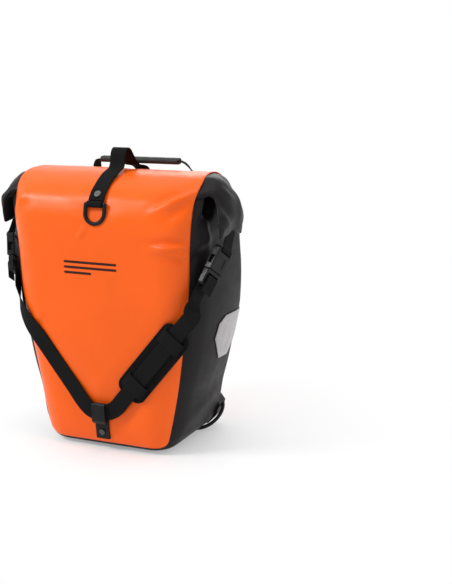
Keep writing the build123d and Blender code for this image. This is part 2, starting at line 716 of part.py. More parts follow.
def leaned(x, y, z):
    """A point of the upright handle, once the handle leans forward over the roll."""
    bar_y, bar_z = LUG_BAR
    dy, dz = y - bar_y, z - bar_z
    c, s = math.cos(HANDLE_LEAN), math.sin(HANDLE_LEAN)
    return Vector(x, bar_y + dy * c - dz * s, bar_z + dy * s + dz * c)


def carry_handle():
    """Narrow webbing from lug to lug, with a flat oval grip over its middle, leaning on the roll."""
    grip_half, grip_wide, grip_high = 67.0, 17.6, 9.6
    bar_y, bar_z = LUG_BAR
    legs = [(88.0, 89.5, 389.1), (87.8, 90.0, 394.0), (86.6, 91.0, 401.0), (85.4, 91.8, 408.0), (83.6, 92.0, 416.0)]
    legs += [(80.8, 92.0, 424.0), (77.0, 92.0, 430.6), (72.4, 92.0, 434.8), (67.4, 92.0, 436.0), (40.0, 92.0, 436.0)]
    c, s = math.cos(HANDLE_LEAN), math.sin(HANDLE_LEAN)
    facing = [(0, c, s), (0, c, s), (0.2, c, s), (0.5, c, s), (0.9, 0.7, 0.8), (0.9, 0.3, 0.9), (0.4, 0, 1)]
    facing += [(0, 0, 1)] * 3
    half = [(leaned(*p), Vector(*n)) for p, n in zip(legs, facing)]
    mirrored = [(Vector(-p.X, p.Y, p.Z), Vector(-n.X, n.Y, n.Z)) for p, n in reversed(half)]
    web = ribbon(half + mirrored, 14, 1.6)
    with BuildPart() as handle:
        add(web)
        for side in (-1, 1):
            with Locations(Location((side * HOOK_X, bar_y, bar_z), (0, 90, 0))):
                Cylinder(5.9, 13.6)
                Cylinder(4.5, 16, mode=Mode.SUBTRACT)
    save(handle.part, "handle_webbing")
    centre = half[-1][0]
    with BuildPart() as grip:
        with BuildSketch(Plane.YZ.offset(-grip_half)):
            with Locations((centre.Y, centre.Z)):
                RectangleRounded(grip_wide, grip_high, grip_high / 2 - 0.1)
        extrude(amount=2 * grip_half)
        ends = grip.faces().filter_by(Axis.X)
        chamfer(ends.edges(), 0.9)
        with Locations((0, centre.Y, centre.Z)):
            Box(2 * grip_half + 2, 14.6, 2.6, mode=Mode.SUBTRACT)
    save(grip.part, "handle_grip")


# ---- lower hook --------------------------------------------------------------------------------------
LOWER_HOOK = (5.0, 110.1)


def lower_hook():
    cx, cz = LOWER_HOOK
    tilt = 29.0
    plane = Plane(origin=(cx, BACK_Y, cz), x_dir=(-1, 0, 0), z_dir=(0, 1, 0))
    with BuildPart() as nut:
        with BuildSketch(plane.offset(0.3)):
            Circle(5.2)
        extrude(amount=2.6)
        with BuildSketch(plane.offset(0.3)):
            Circle(2.9)
        extrude(amount=5.9)
    save(nut.part, "lower_slider")
    with BuildPart() as arm:
        with BuildSketch(plane.offset(6.4)):
            Circle(14)
            with Locations(Location((26, 0, 0))):
                RectangleRounded(52, 19, 5)
        extrude(amount=5.0)
        with BuildSketch(plane.offset(11.4)):
            with Locations((42, 0)):
                RectangleRounded(19, 19, 4)
        extrude(amount=12)
        with BuildSketch(plane.offset(23.4)):
            with Locations((36, 0)):
                RectangleRounded(31, 19, 4)
        extrude(amount=5)
        fillet(arm.faces().sort_by(Axis.Y)[-1].edges(), 1.5)
        with BuildSketch(plane.offset(11.4)):
            Circle(13.2)
            Circle(10.2, mode=Mode.SUBTRACT)
        extrude(amount=0.8)
        with BuildSketch(plane.offset(0)):
            Circle(2.6)
        extrude(amount=20, mode=Mode.SUBTRACT)
    turned = arm.part.rotate(Axis((cx, 0, cz), (0, 1, 0)), tilt)
    save(turned, "lower_hook")
    with BuildPart() as screw:
        with BuildSketch(plane.offset(11.5)):
            Circle(5)
        extrude(amount=2)
        fillet(screw.faces().sort_by(Axis.Y)[-1].edges(), 1)
        with BuildSketch(plane.offset(12.6)):
            RegularPolygon(1.9, 6)
        extrude(amount=2, mode=Mode.SUBTRACT)
        with BuildSketch(plane.offset(6.25)):
            Circle(2.5)
        extrude(amount=5.25)
    save(screw.part, "lower_hook_screw")


# ---- fixings ------------------------------------------------------------------------------------------
def screws(places, head_y, name):
    """Low round-headed screws with hexagon sockets, pointing into the bag."""
    with BuildPart() as heads:
        with BuildSketch(Plane.XZ.offset(-head_y)):
            with Locations(*places):
                Circle(HEAD_R)
        extrude(amount=-2.2)
        fillet(heads.faces().filter_by(Axis.Y).group_by(Axis.Y)[-1].edges(), 1)
        with BuildSketch(Plane.XZ.offset(-(head_y + 1.0))):
            with Locations(*places):
                RegularPolygon(1.9, 6)
        extrude(amount=-2, mode=Mode.SUBTRACT)
        with BuildSketch(Plane.XZ.offset(-head_y)):
            with Locations(*places):
                Circle(SCREW_R)
        extrude(amount=head_y - 71.5)
    save(heads.part, name)


def nuts(places, name):
    with BuildPart() as group:
        with BuildSketch(Plane.XZ.offset(-72.6)):
            with Locations(*places):
                Circle(6)
                Circle(SCREW_R + 0.05, mode=Mode.SUBTRACT)
        extrude(amount=-3.6)
    save(group.part, name)


def anchor_webbing():
    """Webbing held behind the rail and looped round the closure buckle's socket bar."""
    bar = CLOSURE_PLANE.origin + CLOSURE_PLANE.x_dir * 35.0
    loop = CLOSURE_PLANE.z_dir
    along = CLOSURE_PLANE.x_dir
    points = [Vector(0, 81.4, 305.5), Vector(0, 81.4, 334.5)]
    points += [bar - loop * 6.5 + along * 6.0, bar - loop * 6.9 + along * 1.4, bar - loop * 6.9 - along * 3.0]
    points += [bar - along * 4.3 - loop * 4.4, bar - along * 4.3 + loop * 4.0]
    path = []
    for i, point in enumerate(points):
        before = points[max(i - 1, 0)]
        after = points[min(i + 1, len(points) - 1)]
        travel = after - before
        path.append((point, Vector(0, travel.Z, -travel.Y)))
    with BuildPart() as web:
        add(ribbon(path, WEB - 1, 1.4))
        add(screw_holes([(0, RAIL_MID)], SCREW_R + 0.1), mode=Mode.SUBTRACT)
    save(web.part, "anchor_webbing")


outer_volume = bag_volume(0)
bag_panels(outer_volume)
reflectors(outer_volume)
stiffener_and_pocket()
closure_roll()
roll_ends()
mounting_rail()
arc_rail()
save(edge_protector(), "edge_protector")
screws(RAIL_SCREWS, RAIL_FACE - 2.4, "rail_screws")
screws(ARC_SCREWS, BACK_Y + 6 - 2.4, "arc_rail_screws")
screws(PROTECTOR_SCREWS, BACK_Y + 5, "protector_screws")
nuts(ALL_SCREWS, "inner_nuts")
for hook_side, hook_place in ((-1, "left"), (1, "right")):
    rack_hook(hook_side, hook_place)
    side_release_buckle(buckle_plane(hook_side), hook_place)
    strap_tail(buckle_plane(hook_side), hook_place, 9)
    side_tab(hook_side, hook_place)
side_release_buckle(CLOSURE_PLANE, "closure")
anchor_webbing()
carry_handle()
lower_hook()
closure_strap()
d_ring()
strap_hook()
front_badge()
shoulder_strap()
shoulder_pad()
pad_keepers()
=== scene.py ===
"""The looks of a roll-top pannier bag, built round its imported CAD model.

Lengths in this script are millimetres in the CAD frame until mesh_object turns them into metres.
"""
import json
import math

import bpy
import numpy as np
from mathutils import Matrix, Vector


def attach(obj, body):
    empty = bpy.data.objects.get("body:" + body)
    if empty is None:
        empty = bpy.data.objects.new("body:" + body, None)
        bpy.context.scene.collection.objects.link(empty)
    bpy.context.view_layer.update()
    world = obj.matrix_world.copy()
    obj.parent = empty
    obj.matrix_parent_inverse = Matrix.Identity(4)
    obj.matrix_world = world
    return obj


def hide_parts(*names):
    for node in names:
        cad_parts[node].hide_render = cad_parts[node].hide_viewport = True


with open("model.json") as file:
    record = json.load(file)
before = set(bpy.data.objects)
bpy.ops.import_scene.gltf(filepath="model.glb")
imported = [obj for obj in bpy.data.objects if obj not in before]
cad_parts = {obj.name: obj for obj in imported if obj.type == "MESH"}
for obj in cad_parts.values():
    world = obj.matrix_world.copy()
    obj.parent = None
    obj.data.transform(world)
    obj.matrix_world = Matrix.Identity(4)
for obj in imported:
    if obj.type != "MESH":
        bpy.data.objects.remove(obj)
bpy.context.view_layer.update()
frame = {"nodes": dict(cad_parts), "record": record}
NODES = frame["nodes"]
MM = 0.001
MIRROR = np.array([-1.0, 1.0, 1.0])
FORWARD = np.array([0, -1.0, 0])


# ---- small tools -------------------------------------------------------------------------------------
def smoothstep(low, high, value):
    t = np.clip((np.asarray(value, float) - low) / (high - low), 0, 1)
    return t * t * (3 - 2 * t)


def hump(value, centre, half):
    """1 at the centre, falling smoothly to 0 at half away from it."""
    t = np.clip(np.abs((np.asarray(value, float) - centre) / half), 0, 1)
    return (1 - t * t) ** 2


def unit(v):
    v = np.asarray(v, float)
    return v / np.maximum(np.linalg.norm(v, axis=-1, keepdims=True), 1e-9)


def cubic_weights(t):
    """Hermite weights of a stretch's start, the slope there, its end and the slope there."""
    return 2 * t**3 - 3 * t**2 + 1, t**3 - 2 * t**2 + t, -2 * t**3 + 3 * t**2, t**3 - t**2


def run_along(line):
    """How far along a line each of its points lies."""
    return np.concatenate([[0], np.cumsum(np.linalg.norm(np.diff(line, axis=0), axis=1))])


def run_across(grid):
    """How far each point of a grid lies from the first one in its row."""
    steps = np.linalg.norm(np.diff(grid, axis=1), axis=2)
    return np.concatenate([np.zeros((len(grid), 1)), np.cumsum(steps, axis=1)], axis=1)


def curve_through(points, step):
    """A smooth line through the points, sampled about every step, with the point number as it goes."""
    p = np.asarray(points, float)
    ends = np.vstack([2 * p[0] - p[1], p, 2 * p[-1] - p[-2]])
    out, number = [], []
    for i in range(len(p) - 1):
        a, b, c, d = ends[i:i + 4]
        count = max(2, int(np.linalg.norm(c - b) / step))
        for t in np.arange(count) / count:
            near, far = c - a, d - b
            scale = np.linalg.norm(c - b)
            near = near * scale / max(np.linalg.norm(near), 1e-9)
            far = far * scale / max(np.linalg.norm(far), 1e-9)
            h = cubic_weights(t)
            out.append(h[0] * b + h[1] * near + h[2] * c + h[3] * far)
            number.append(i + t)
    out.append(p[-1])
    number.append(len(p) - 1)
    return np.array(out), np.array(number)


def steady(heights, values, z):
    """Smooth reading of a table whose line never overshoots its own values."""
    heights, values = np.asarray(heights, float), np.asarray(values, float)
    rise = np.diff(values) / np.diff(heights)
    slope = np.concatenate([[rise[0]], (rise[:-1] + rise[1:]) / 2, [rise[-1]]])
    slope[1:-1][rise[:-1] * rise[1:] <= 0] = 0
    i = np.clip(np.searchsorted(heights, z, side="right") - 1, 0, len(rise) - 1)
    width = heights[i + 1] - heights[i]
    t = np.clip((z - heights[i]) / width, 0, 1)
    h = cubic_weights(t)
    return h[0] * values[i] + h[1] * width * slope[i] + h[2] * values[i + 1] + h[3] * width * slope[i + 1]


def mesh_object(name, verts, faces, uv=None):
    """A smooth-shaded mesh from millimetre points. uv is one pair a vertex."""
    mesh = bpy.data.meshes.new(name)
    mesh.from_pydata([tuple(np.asarray(v) * MM) for v in verts], [], [tuple(f) for f in faces])
    mesh.validate()
    if uv is not None:
        layer = mesh.uv_layers.new(name="UVMap")
        index = np.zeros(len(mesh.loops), int)
        mesh.loops.foreach_get("vertex_index", index)
        layer.data.foreach_set("uv", np.asarray(uv, float)[index].ravel())
    mesh.polygons.foreach_set("use_smooth", [True] * len(mesh.polygons))
    mesh.update()
    obj = bpy.data.objects.new(name, mesh)
    bpy.context.scene.collection.objects.link(obj)
    return obj


def grid_faces(rows, columns, around=False, first=0, flip=False):
    faces = []
    last = columns if around else columns - 1
    for r in range(rows - 1):
        for c in range(last):
            a, b = first + r * columns + c, first + r * columns + (c + 1) % columns
            face = (a, b, b + columns, a + columns)
            faces.append(face[::-1] if flip else face)
    return faces


def capped_faces(rows, columns):
    """Faces of a closed tube with a flat cap at each end."""
    last = (rows - 1) * columns
    caps = [tuple(range(columns))[::-1], tuple(range(last, last + columns))]
    return grid_faces(rows, columns, around=True) + caps


def grid_normals(grid):
    along = np.gradient(grid, axis=0)
    across = np.gradient(grid, axis=1)
    return unit(np.cross(across, along))


def join_parts(parts):
    """(vertices, faces, uv) of several pieces as one."""
    verts, faces, uvs, count = [], [], [], 0
    for v, f, uv in parts:
        verts += list(v)
        faces += [tuple(i + count for i in face) for face in f]
        uvs += list(uv)
        count += len(v)
    return verts, faces, uvs


def thicken(obj, thick):
    """Gives a sheet its thickness, on its inner side."""
    modifier = obj.modifiers.new("thickness", "SOLIDIFY")
    modifier.thickness = thick * MM
    modifier.offset = -1
    modifier.use_even_offset = False


def place(obj, body, material, slot, *replaced):
    obj.data.materials.append(material)
    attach(obj, body)
    if replaced:
        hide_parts(*replaced)
    return obj


def piece(name, body, slot_name, shape, *replaced):
    """An object from a shape, which is (vertices, faces, uv), in the finish of its slot."""
    return place(mesh_object(name, *shape), body, FINISHES[slot_name], slot_name, *replaced)


# ---- materials ---------------------------------------------------------------------------------------
class Finish:
    """A material under construction: a principled shader and what feeds it."""

    def __init__(self, name, colour, roughness, metallic=0.0, specular=0.5):
        self.material = bpy.data.materials.new(name)
        self.material.use_nodes = True
        self.nodes = self.material.node_tree.nodes
        self.links = self.material.node_tree.links
        self.shader = self.nodes["Principled BSDF"]
        self.shader.inputs["Base Color"].default_value = (*colour, 1)
        self.shader.inputs["Roughness"].default_value = roughness
        self.shader.inputs["Metallic"].default_value = metallic
        self.shader.inputs["Specular IOR Level"].default_value = specular
        self.roughness, self.height = roughness, None
        self.place = self.node("ShaderNodeTexCoord").outputs["Object"]

    def node(self, kind, **settings):
        made = self.nodes.new(kind)
        for key, value in settings.items():
            if key in made.inputs:
                made.inputs[key].default_value = value
            else:
                setattr(made, key, value)
        return made

    def wire(self, source, target):
        self.links.new(source, target)

    def noise(self, scale, detail=3.0, stretch=None):
        made = self.node("ShaderNodeTexNoise", Scale=scale, Detail=detail)
        source = self.place
        if stretch:
            turn = self.node("ShaderNodeMapping")
            turn.inputs["Scale"].default_value = stretch
            self.wire(source, turn.inputs["Vector"])
            source = turn.outputs["Vector"]
        self.wire(source, made.inputs["Vector"])
        return made.outputs["Fac"]

    def maths(self, operation, a, b=None):
        made = self.node("ShaderNodeMath", operation=operation)
        for i, value in enumerate((a, b)):
            if isinstance(value, (int, float)):
                made.inputs[i].default_value = value
            elif value is not None:
                self.wire(value, made.inputs[i])
        return made.outputs[0]

    def spread(self, value, low, high, span=(0.3, 0.7)):
        made = self.node("ShaderNodeMapRange")
        for key, number in zip(("From Min", "From Max", "To Min", "To Max"), (*span, low, high)):
            made.inputs[key].default_value = number
        self.wire(value, made.inputs["Value"])
        return made.outputs["Result"]

    def tint(self, value, low, high):
        """Base colour between two colours, by value."""
        made = self.node("ShaderNodeMix", data_type="RGBA")
        made.inputs[6].default_value = (*low, 1)
        made.inputs[7].default_value = (*high, 1)
        self.wire(value, made.inputs[0])
        self.wire(made.outputs[2], self.shader.inputs["Base Color"])

    def vary_roughness(self, value, spread):
        low, high = self.roughness - spread, self.roughness + spread
        self.wire(self.spread(value, low, high), self.shader.inputs["Roughness"])

    def bump(self, height, depth, strength=1.0):
        """Adds a relief of the given depth in millimetres."""
        made = self.node("ShaderNodeBump", Strength=strength, Distance=depth * MM)
        self.wire(height, made.inputs["Height"])
        if self.height is not None:
            self.wire(self.height, made.inputs["Normal"])
        self.height = made.outputs["Normal"]
        self.wire(self.height, self.shader.inputs["Normal"])

    def threads(self, pitch, axes=("X", "Z")):
        """A plain weave read from object space: two crossed sets of threads."""
        parts = self.node("ShaderNodeSeparateXYZ")
        self.wire(self.place, parts.inputs[0])
        turns = 2 * math.pi / (pitch * MM)
        waves = [self.maths("SINE", self.maths("MULTIPLY", parts.outputs[axis], turns)) for axis in axes]
        return self.maths("MULTIPLY", waves[0], waves[1])


def shade(colour, factor):
    return tuple(min(1.0, c * factor) for c in colour)


def coated_fabric(name, colour, roughness, axes, specular):
    f = Finish(name, colour, roughness, specular=specular)
    cloud = f.noise(9, 4)
    f.tint(f.spread(cloud, 0, 1), shade(colour, 0.94), shade(colour, 1.05))
    f.vary_roughness(f.noise(55, 5), 0.06)
    f.bump(f.threads(1.5, axes), 0.035, 0.6)
    f.bump(f.noise(420, 4), 0.05, 0.5)
    f.bump(f.noise(26, 3), 0.7, 0.30)
    return f.material


def webbing_finish(name, colour, pitch=1.7):
    """Woven strap: rows of short ribs across the width, read from the strap's own length and width. The
    grooves between the ribs are darker in colour, which is painted shade.
    """
    f = Finish(name, colour, 0.75, specular=0.07)
    across = f.node("ShaderNodeUVMap", uv_map="UVMap")
    rib = f.node("ShaderNodeTexBrick", offset=0.5, Scale=1.0)
    rib.inputs["Brick Width"].default_value = pitch * 1.6
    rib.inputs["Row Height"].default_value = pitch * 0.75
    rib.inputs["Mortar Size"].default_value = pitch * 0.16
    rib.inputs["Mortar Smooth"].default_value = 1.0
    f.wire(across.outputs["UV"], rib.inputs["Vector"])
    # painted shade: the sunken grooves between the ribs get a darker base colour
    dark = f.maths("MULTIPLY", rib.outputs["Fac"], 0.75)
    f.tint(dark, shade(colour, 1.25), shade(colour, 0.45))
    f.bump(f.maths("SUBTRACT", 1.0, rib.outputs["Fac"]), 0.30, 0.9)
    f.bump(f.noise(900, 2), 0.08, 0.5)
    return f.material


def moulded_plastic(name, colour, roughness, grain=0.05):
    f = Finish(name, colour, roughness, specular=0.16)
    f.tint(f.spread(f.noise(40, 4), 0, 1), shade(colour, 0.82), shade(colour, 1.2))
    f.vary_roughness(f.noise(120, 5), 0.09)
    f.bump(f.noise(1500, 2), grain, 0.6)
    f.bump(f.noise(60, 3, (1, 1, 3)), 0.10, 0.35)
    return f.material


def metal(name, colour, roughness):
    f = Finish(name, colour, roughness, metallic=1.0)
    f.tint(f.spread(f.noise(300, 3), 0, 1), shade(colour, 0.75), shade(colour, 1.15))
    f.vary_roughness(f.noise(250, 4), 0.10)
    f.bump(f.noise(900, 3, (1, 1, 6)), 0.04, 0.5)
    return f.material


def honeycomb_sheet(name, colour):
    """Retroreflective sheet: pale cells with slightly brighter borders."""
    f = Finish(name, colour, 0.32, specular=0.7)
    cells = f.node("ShaderNodeTexVoronoi", feature="DISTANCE_TO_EDGE", Scale=210)
    cells.inputs["Randomness"].default_value = 0.12
    f.wire(f.place, cells.inputs["Vector"])
    border = f.spread(cells.outputs["Distance"], 1, 0, (0.0, 0.12))
    f.tint(border, shade(colour, 0.93), shade(colour, 1.12))
    f.bump(border, 0.12, 0.6)
    f.bump(f.noise(34, 2), 1.1, 0.55)
    f.shader.inputs["Coat Weight"].default_value = 0.35
    return f.material


def rubber(name, colour):
    f = Finish(name, colour, 0.6, specular=0.4)
    f.vary_roughness(f.noise(160, 4), 0.08)
    wave = f.node("ShaderNodeTexWave", wave_type="BANDS", bands_direction="X", Scale=95)
    f.wire(f.place, wave.inputs["Vector"])
    f.bump(wave.outputs["Fac"], 0.22, 0.5)
    f.tint(f.spread(f.noise(70, 3), 0, 1), shade(colour, 0.8), shade(colour, 1.3))
    return f.material


def padding_cover(name, colour):
    f = Finish(name, colour, 0.8, specular=0.06)
    f.tint(f.spread(f.noise(60, 4), 0, 1), shade(colour, 0.8), shade(colour, 1.25))
    f.bump(f.threads(1.1, ("X", "Z")), 0.14, 0.7)
    f.bump(f.noise(90, 3), 0.35, 0.4)
    return f.material


ORANGE = (0.92, 0.118, 0.0050)
BLACK = (0.0135, 0.0118, 0.0125)
FINISHES = {
    "orange_fabric": coated_fabric("orange_coated_fabric", ORANGE, 0.34, ("X", "Z"), 0.22),
    "black_fabric": coated_fabric("black_coated_fabric", BLACK, 0.44, ("Y", "Z"), 0.12),
    "reflective": honeycomb_sheet("reflective_sheet", (0.33, 0.31, 0.325)),
    "black_print": moulded_plastic("black_print", (0.03, 0.012, 0.008), 0.5, 0.02),
    "stiffener_sheet": moulded_plastic("stiffener_sheet", (0.08, 0.08, 0.08), 0.6),
    "black_plastic": moulded_plastic("black_moulded_plastic", (0.009, 0.009, 0.010), 0.40),
    "grey_plastic": moulded_plastic("grey_moulded_plastic", (0.13, 0.145, 0.13), 0.5),
    "dark_steel": metal("blackened_steel", (0.10, 0.10, 0.10), 0.38),
    "steel": metal("plain_steel", (0.5, 0.5, 0.5), 0.3),
    "webbing": webbing_finish("black_webbing", (0.0085, 0.0083, 0.0088)),
    "pad_fabric": padding_cover("pad_cover", (0.006, 0.006, 0.0063)),
    "black_rubber": rubber("grip_rubber", (0.018, 0.018, 0.018)),
}
THREAD = webbing_finish("black_thread", (0.03, 0.03, 0.031), 0.5)


# ---- the bag's surface -------------------------------------------------------------------------------
# height, half width at the front, half width at the back, front face, back face, front and back corner radius
SECTIONS = np.array([
    (0, 88, 92, -62, 58, 26, 18),
    (5, 98, 105, -74, 69, 30, 20),
    (16, 106, 119, -82, 77, 38, 22),
    (36, 112, 128, -86, 80, 46, 24),
    (100, 124, 143, -89, 80, 56, 26),
    (170, 138, 157, -90, 80, 58, 26),
    (220, 147, 167, -90, 80, 58, 26),
    (330, 152, 170, -90, 80, 52, 26),
    (372, 153, 168, -84, 72, 40, 24),
    (396, 150, 160, -66, 58, 24, 20),
], float)
# height and half width
FRONT_SEAM = np.array([
    (11, 98), (20, 101), (98, 117), (177, 129.5), (251, 139), (320, 142), (400, 149),
], float)
BACK_SEAM = np.array([(13, 88), (57, 117), (210, 146), (336, 150), (400, 152)], float)
PANEL_LOW = 11.0
PANEL_CORNER = 12.0
WALL_TOP = 396.0
OVERLAP = 5.0
PROUD = 0.5

# the shoulder strap on the front, as x and height
STRAP_LINE = [
    (150, 222.2), (18, 67.4), (0, 63.5), (-18, 67.2), (-29, 77), (-45, 97.2), (-70, 129.2), (-106, 176),
]


def outline(z):
    """Half of the bag's outline at height z, from the middle of the front round to the middle of the back."""
    f, b, y0, y1, rf, rb = (steady(SECTIONS[:, 0], SECTIONS[:, k], z) for k in range(1, 7))
    line = [(0.0, y0)]
    front, back = np.array([f, y0]), np.array([b, y1])
    slope = unit(back - front)
    for corner, before, after, radius in ((front, (1, 0), slope, rf), (back, slope, (-1, 0), rb)):
        before, after = np.array(before, float), np.array(after, float)
        turn = math.acos(np.clip(before @ after, -1, 1))
        start = corner - before * radius * math.tan(turn / 2)
        inward = np.array([-before[1], before[0]])
        centre = start + inward * radius
        for a in np.linspace(0, turn, 22):
            spin = np.array([[math.cos(a), -math.sin(a)], [math.sin(a), math.cos(a)]])
            line.append(tuple(centre + spin @ (-inward * radius)))
    line.append((0.0, y1))
    return np.array(line, float)


def rounded_edge(width, z):
    """Half width of a panel, drawn in at its lowest corners."""
    drop = np.clip((PANEL_LOW + PANEL_CORNER - z) / PANEL_CORNER, 0, 1)
    return width - PANEL_CORNER * 0.8 * (1 - math.sqrt(max(0.0, 1 - drop * drop)))


def seam_marks(z):
    """Outline at z with its running length, and the lengths at which the front and back seams lie."""
    line = outline(z)
    run = run_along(line)
    widest = int(np.argmax(line[:, 0]))
    front_x = rounded_edge(steady(FRONT_SEAM[:, 0], FRONT_SEAM[:, 1], z), z)
    back_x = rounded_edge(steady(BACK_SEAM[:, 0], BACK_SEAM[:, 1], z), z)
    front = np.interp(min(front_x, line[widest, 0] - 1), line[:widest + 1, 0], run[:widest + 1])
    back = np.interp(-min(back_x, line[widest, 0] - 1), -line[widest:, 0], run[widest:])
    return line, run, front, back


def spread_points(z, start, end, count):
    line, run, front, back = seam_marks(z)
    marks = {"middle_front": 0.0, "front_seam": front, "back_seam": back, "middle_back": run[-1]}
    low = marks[start[0]] + start[1]
    high = marks[end[0]] + end[1]
    s = np.linspace(low, high, count)
    return np.stack([np.interp(s, run, line[:, 0]), np.interp(s, run, line[:, 1]), np.full(count, z)], axis=1)


def distance_to_line(x, z, line):
    best = np.full(np.shape(x), 1e9)
    p = np.stack([x, z], axis=-1)
    for a, b in zip(line, line[1:]):
        a, b = np.array(a, float), np.array(b, float)
        t = np.clip(((p - a) @ (b - a)) / ((b - a) @ (b - a)), 0, 1)
        best = np.minimum(best, np.linalg.norm(p - (a + t[..., None] * (b - a)), axis=-1))
    return best


def crease(x, z, start, end, width, height, lean=0.0):
    """A ridge along a line that dies away at both ends; lean adds a valley on its lower side."""
    a, b = np.array(start, float), np.array(end, float)
    along = unit(b - a)
    side = np.array([-along[1], along[0]])
    p = np.stack([x, z], axis=-1) - a
    t = np.clip((p @ along) / np.linalg.norm(b - a), -0.2, 1.2)
    fade = np.clip(1 - np.abs(t - 0.5) / 0.62, 0, 1)
    fade = fade * fade * (3 - 2 * fade)
    off = (p @ side) / width
    ridge = np.exp(-off * off) - lean * np.exp(-(off + 1.6) ** 2)
    return height * fade * ridge


def wander(x, z, size, seed):
    """Slow, smooth unevenness made of a few crossed waves."""
    draw = np.random.default_rng(seed)
    total = np.zeros(np.shape(x))
    for _ in range(6):
        angle, phase = draw.uniform(0, 2 * math.pi, 2)
        pitch = size * draw.uniform(0.7, 1.8)
        total = total + np.sin((np.cos(angle) * x + np.sin(angle) * z) * 2 * math.pi / pitch + phase)
    return total / 6


# each crease: start, end, width, height and the share of its height that the valley beside it has
FRONT_CREASES = [
    ((158, 402), (86, 368), 6.0, 6.0, 0.5),
    ((140, 384), (104, 352), 8, -3.2),
    ((152, 324), (78, 318), 5.0, 6.0, 0.75),
    ((150, 304), (100, 308), 7, -3.4, 0.5),
    ((-12, 346), (-30, 326), 4.5, 3.0, 0.4),
    ((-126, 186), (-88, 214), 6, 1.6, 0.6),
    ((-150, 360), (-120, 392), 9, 3.4, 0.4),
    ((-148, 240), (-128, 300), 9, 1.2, 0.3),
    ((-60, 398), (60, 402), 12, 0.9),
]
BACK_CREASES = [
    ((-150, 352), (-60, 366), 7, 2.0, 0.6),
    ((140, 372), (60, 352), 8, 1.6, 0.5),
    ((-140, 388), (-84, 376), 6, 1.8, 0.5),
    ((30, 344), (78, 380), 7, 1.2, 0.5),
]


def creases(x, z, table):
    return sum(crease(x, z, *row) for row in table)


def front_relief(x, z):
    strap_gap = distance_to_line(x, z, STRAP_LINE)
    free = smoothstep(14, 46, strap_gap) * smoothstep(0, 40, z - 16) * smoothstep(0, 26, 152 - np.abs(x))
    belly = 3.2 * free * np.exp(-(x / 110) ** 2)
    belly = belly * smoothstep(16, 46, np.hypot(x, z - 384)) * smoothstep(400, 330, z)
    dent = -1.0 * np.exp(-(strap_gap / 15) ** 2) * smoothstep(60, 100, z)
    return belly + dent + creases(x, z, FRONT_CREASES) + 0.55 * free * wander(x, z, 95, 3)


def gusset_relief(run, y, z):
    """run is the distance along the cloth from the front seam."""
    high = smoothstep(350, 386, z)
    hood = 4.0 * hump(run, 12, 11) * high
    pleat = -26 * hump(run, 31, 20) * hump(z, 398, 46)
    balloon = 10.0 * hump(y, 2, 96) * hump(z, 175, 190)
    shoulder = 3.0 * np.exp(-((z - 322 - 0.22 * run) / 7) ** 2) * hump(run, 12, 44)
    shoulder += -2.6 * np.exp(-((z - 304 - 0.22 * run) / 9) ** 2) * hump(run, 14, 44)
    upright = 2.4 * np.exp(-((run - 30 + 0.30 * (z - 340)) / 6) ** 2) * hump(z, 336, 40)
    fold = -6.0 * hump(y, 40, 22) * hump(z, 394, 46)
    fold += 2.6 * hump(y, 64, 14) * hump(z, 386, 40)
    lower = 2.2 * np.exp(-((z - 60 - 0.3 * y) / 16) ** 2) * hump(y, -10, 80)
    lower += -1.8 * np.exp(-((z - 94 + 0.2 * y) / 18) ** 2) * hump(y, 20, 70)
    patch = 1 - hump(y, 28, 62) * hump(z, 172, 56)
    rough = 1.7 * patch * wander(y, z, 80, 11) * smoothstep(4, 40, z)
    return hood + pleat + balloon + shoulder + upright + fold + lower * patch + rough


def back_relief(x, z):
    upper = smoothstep(336, 352, z) * smoothstep(400, 384, z)
    puff = 2.6 * upper * (1 - 0.7 * hump(x, 0, 34))
    return puff + creases(x, z, BACK_CREASES) * upper + 0.4 * upper * wander(x, z, 70, 5)


def displaced(grid, relief, lift=0.0, flip=False):
    normals = grid_normals(grid) * (-1 if flip else 1)
    return grid + normals * (relief + lift)[..., None]


def seam_distance(grid):
    """How far each point of a grid is from its two long side edges."""
    run = run_across(grid)
    return np.minimum(run, run[:, -1:] - run)


def flat_uv(grid):
    """Fabric coordinates in millimetres, measured along the cloth from its middle column and lowest row."""
    u = run_across(grid)
    v = run_across(grid.transpose(1, 0, 2)).T
    return np.stack([u - u[:, grid.shape[1] // 2][:, None], v], axis=-1).reshape(-1, 2)


def cloth(name, grid, body, slot_name, replaced, thick=1.0, flip=False):
    rows, columns = grid.shape[:2]
    obj = mesh_object(name, grid.reshape(-1, 3), grid_faces(rows, columns, flip=flip), flat_uv(grid))
    thicken(obj, thick)
    return place(obj, body, FINISHES[slot_name], slot_name, *replaced)


def mirrored_columns(half):
    """A full grid from the columns on the +X side, the first of them on the middle line."""
    left = half[:, :0:-1] * MIRROR
    return np.concatenate([left, half], axis=1)


# the roll above the walls, as a line in YZ from the front over the top to the back
ROLL_LINE = [(-84.0, 372), (-77.5, 385), (-65, 397.5), (-48, 407.5), (-26, 415.5), (4, 418.4), (34, 416.4),
             (54, 410.6), (64, 404.4), (66.6, 400.2), (63, 397), (55, 396.2)]
ROLL_HALF = 151.0
ROLL_SKEW = 11
FRONT_TURN = 360.0


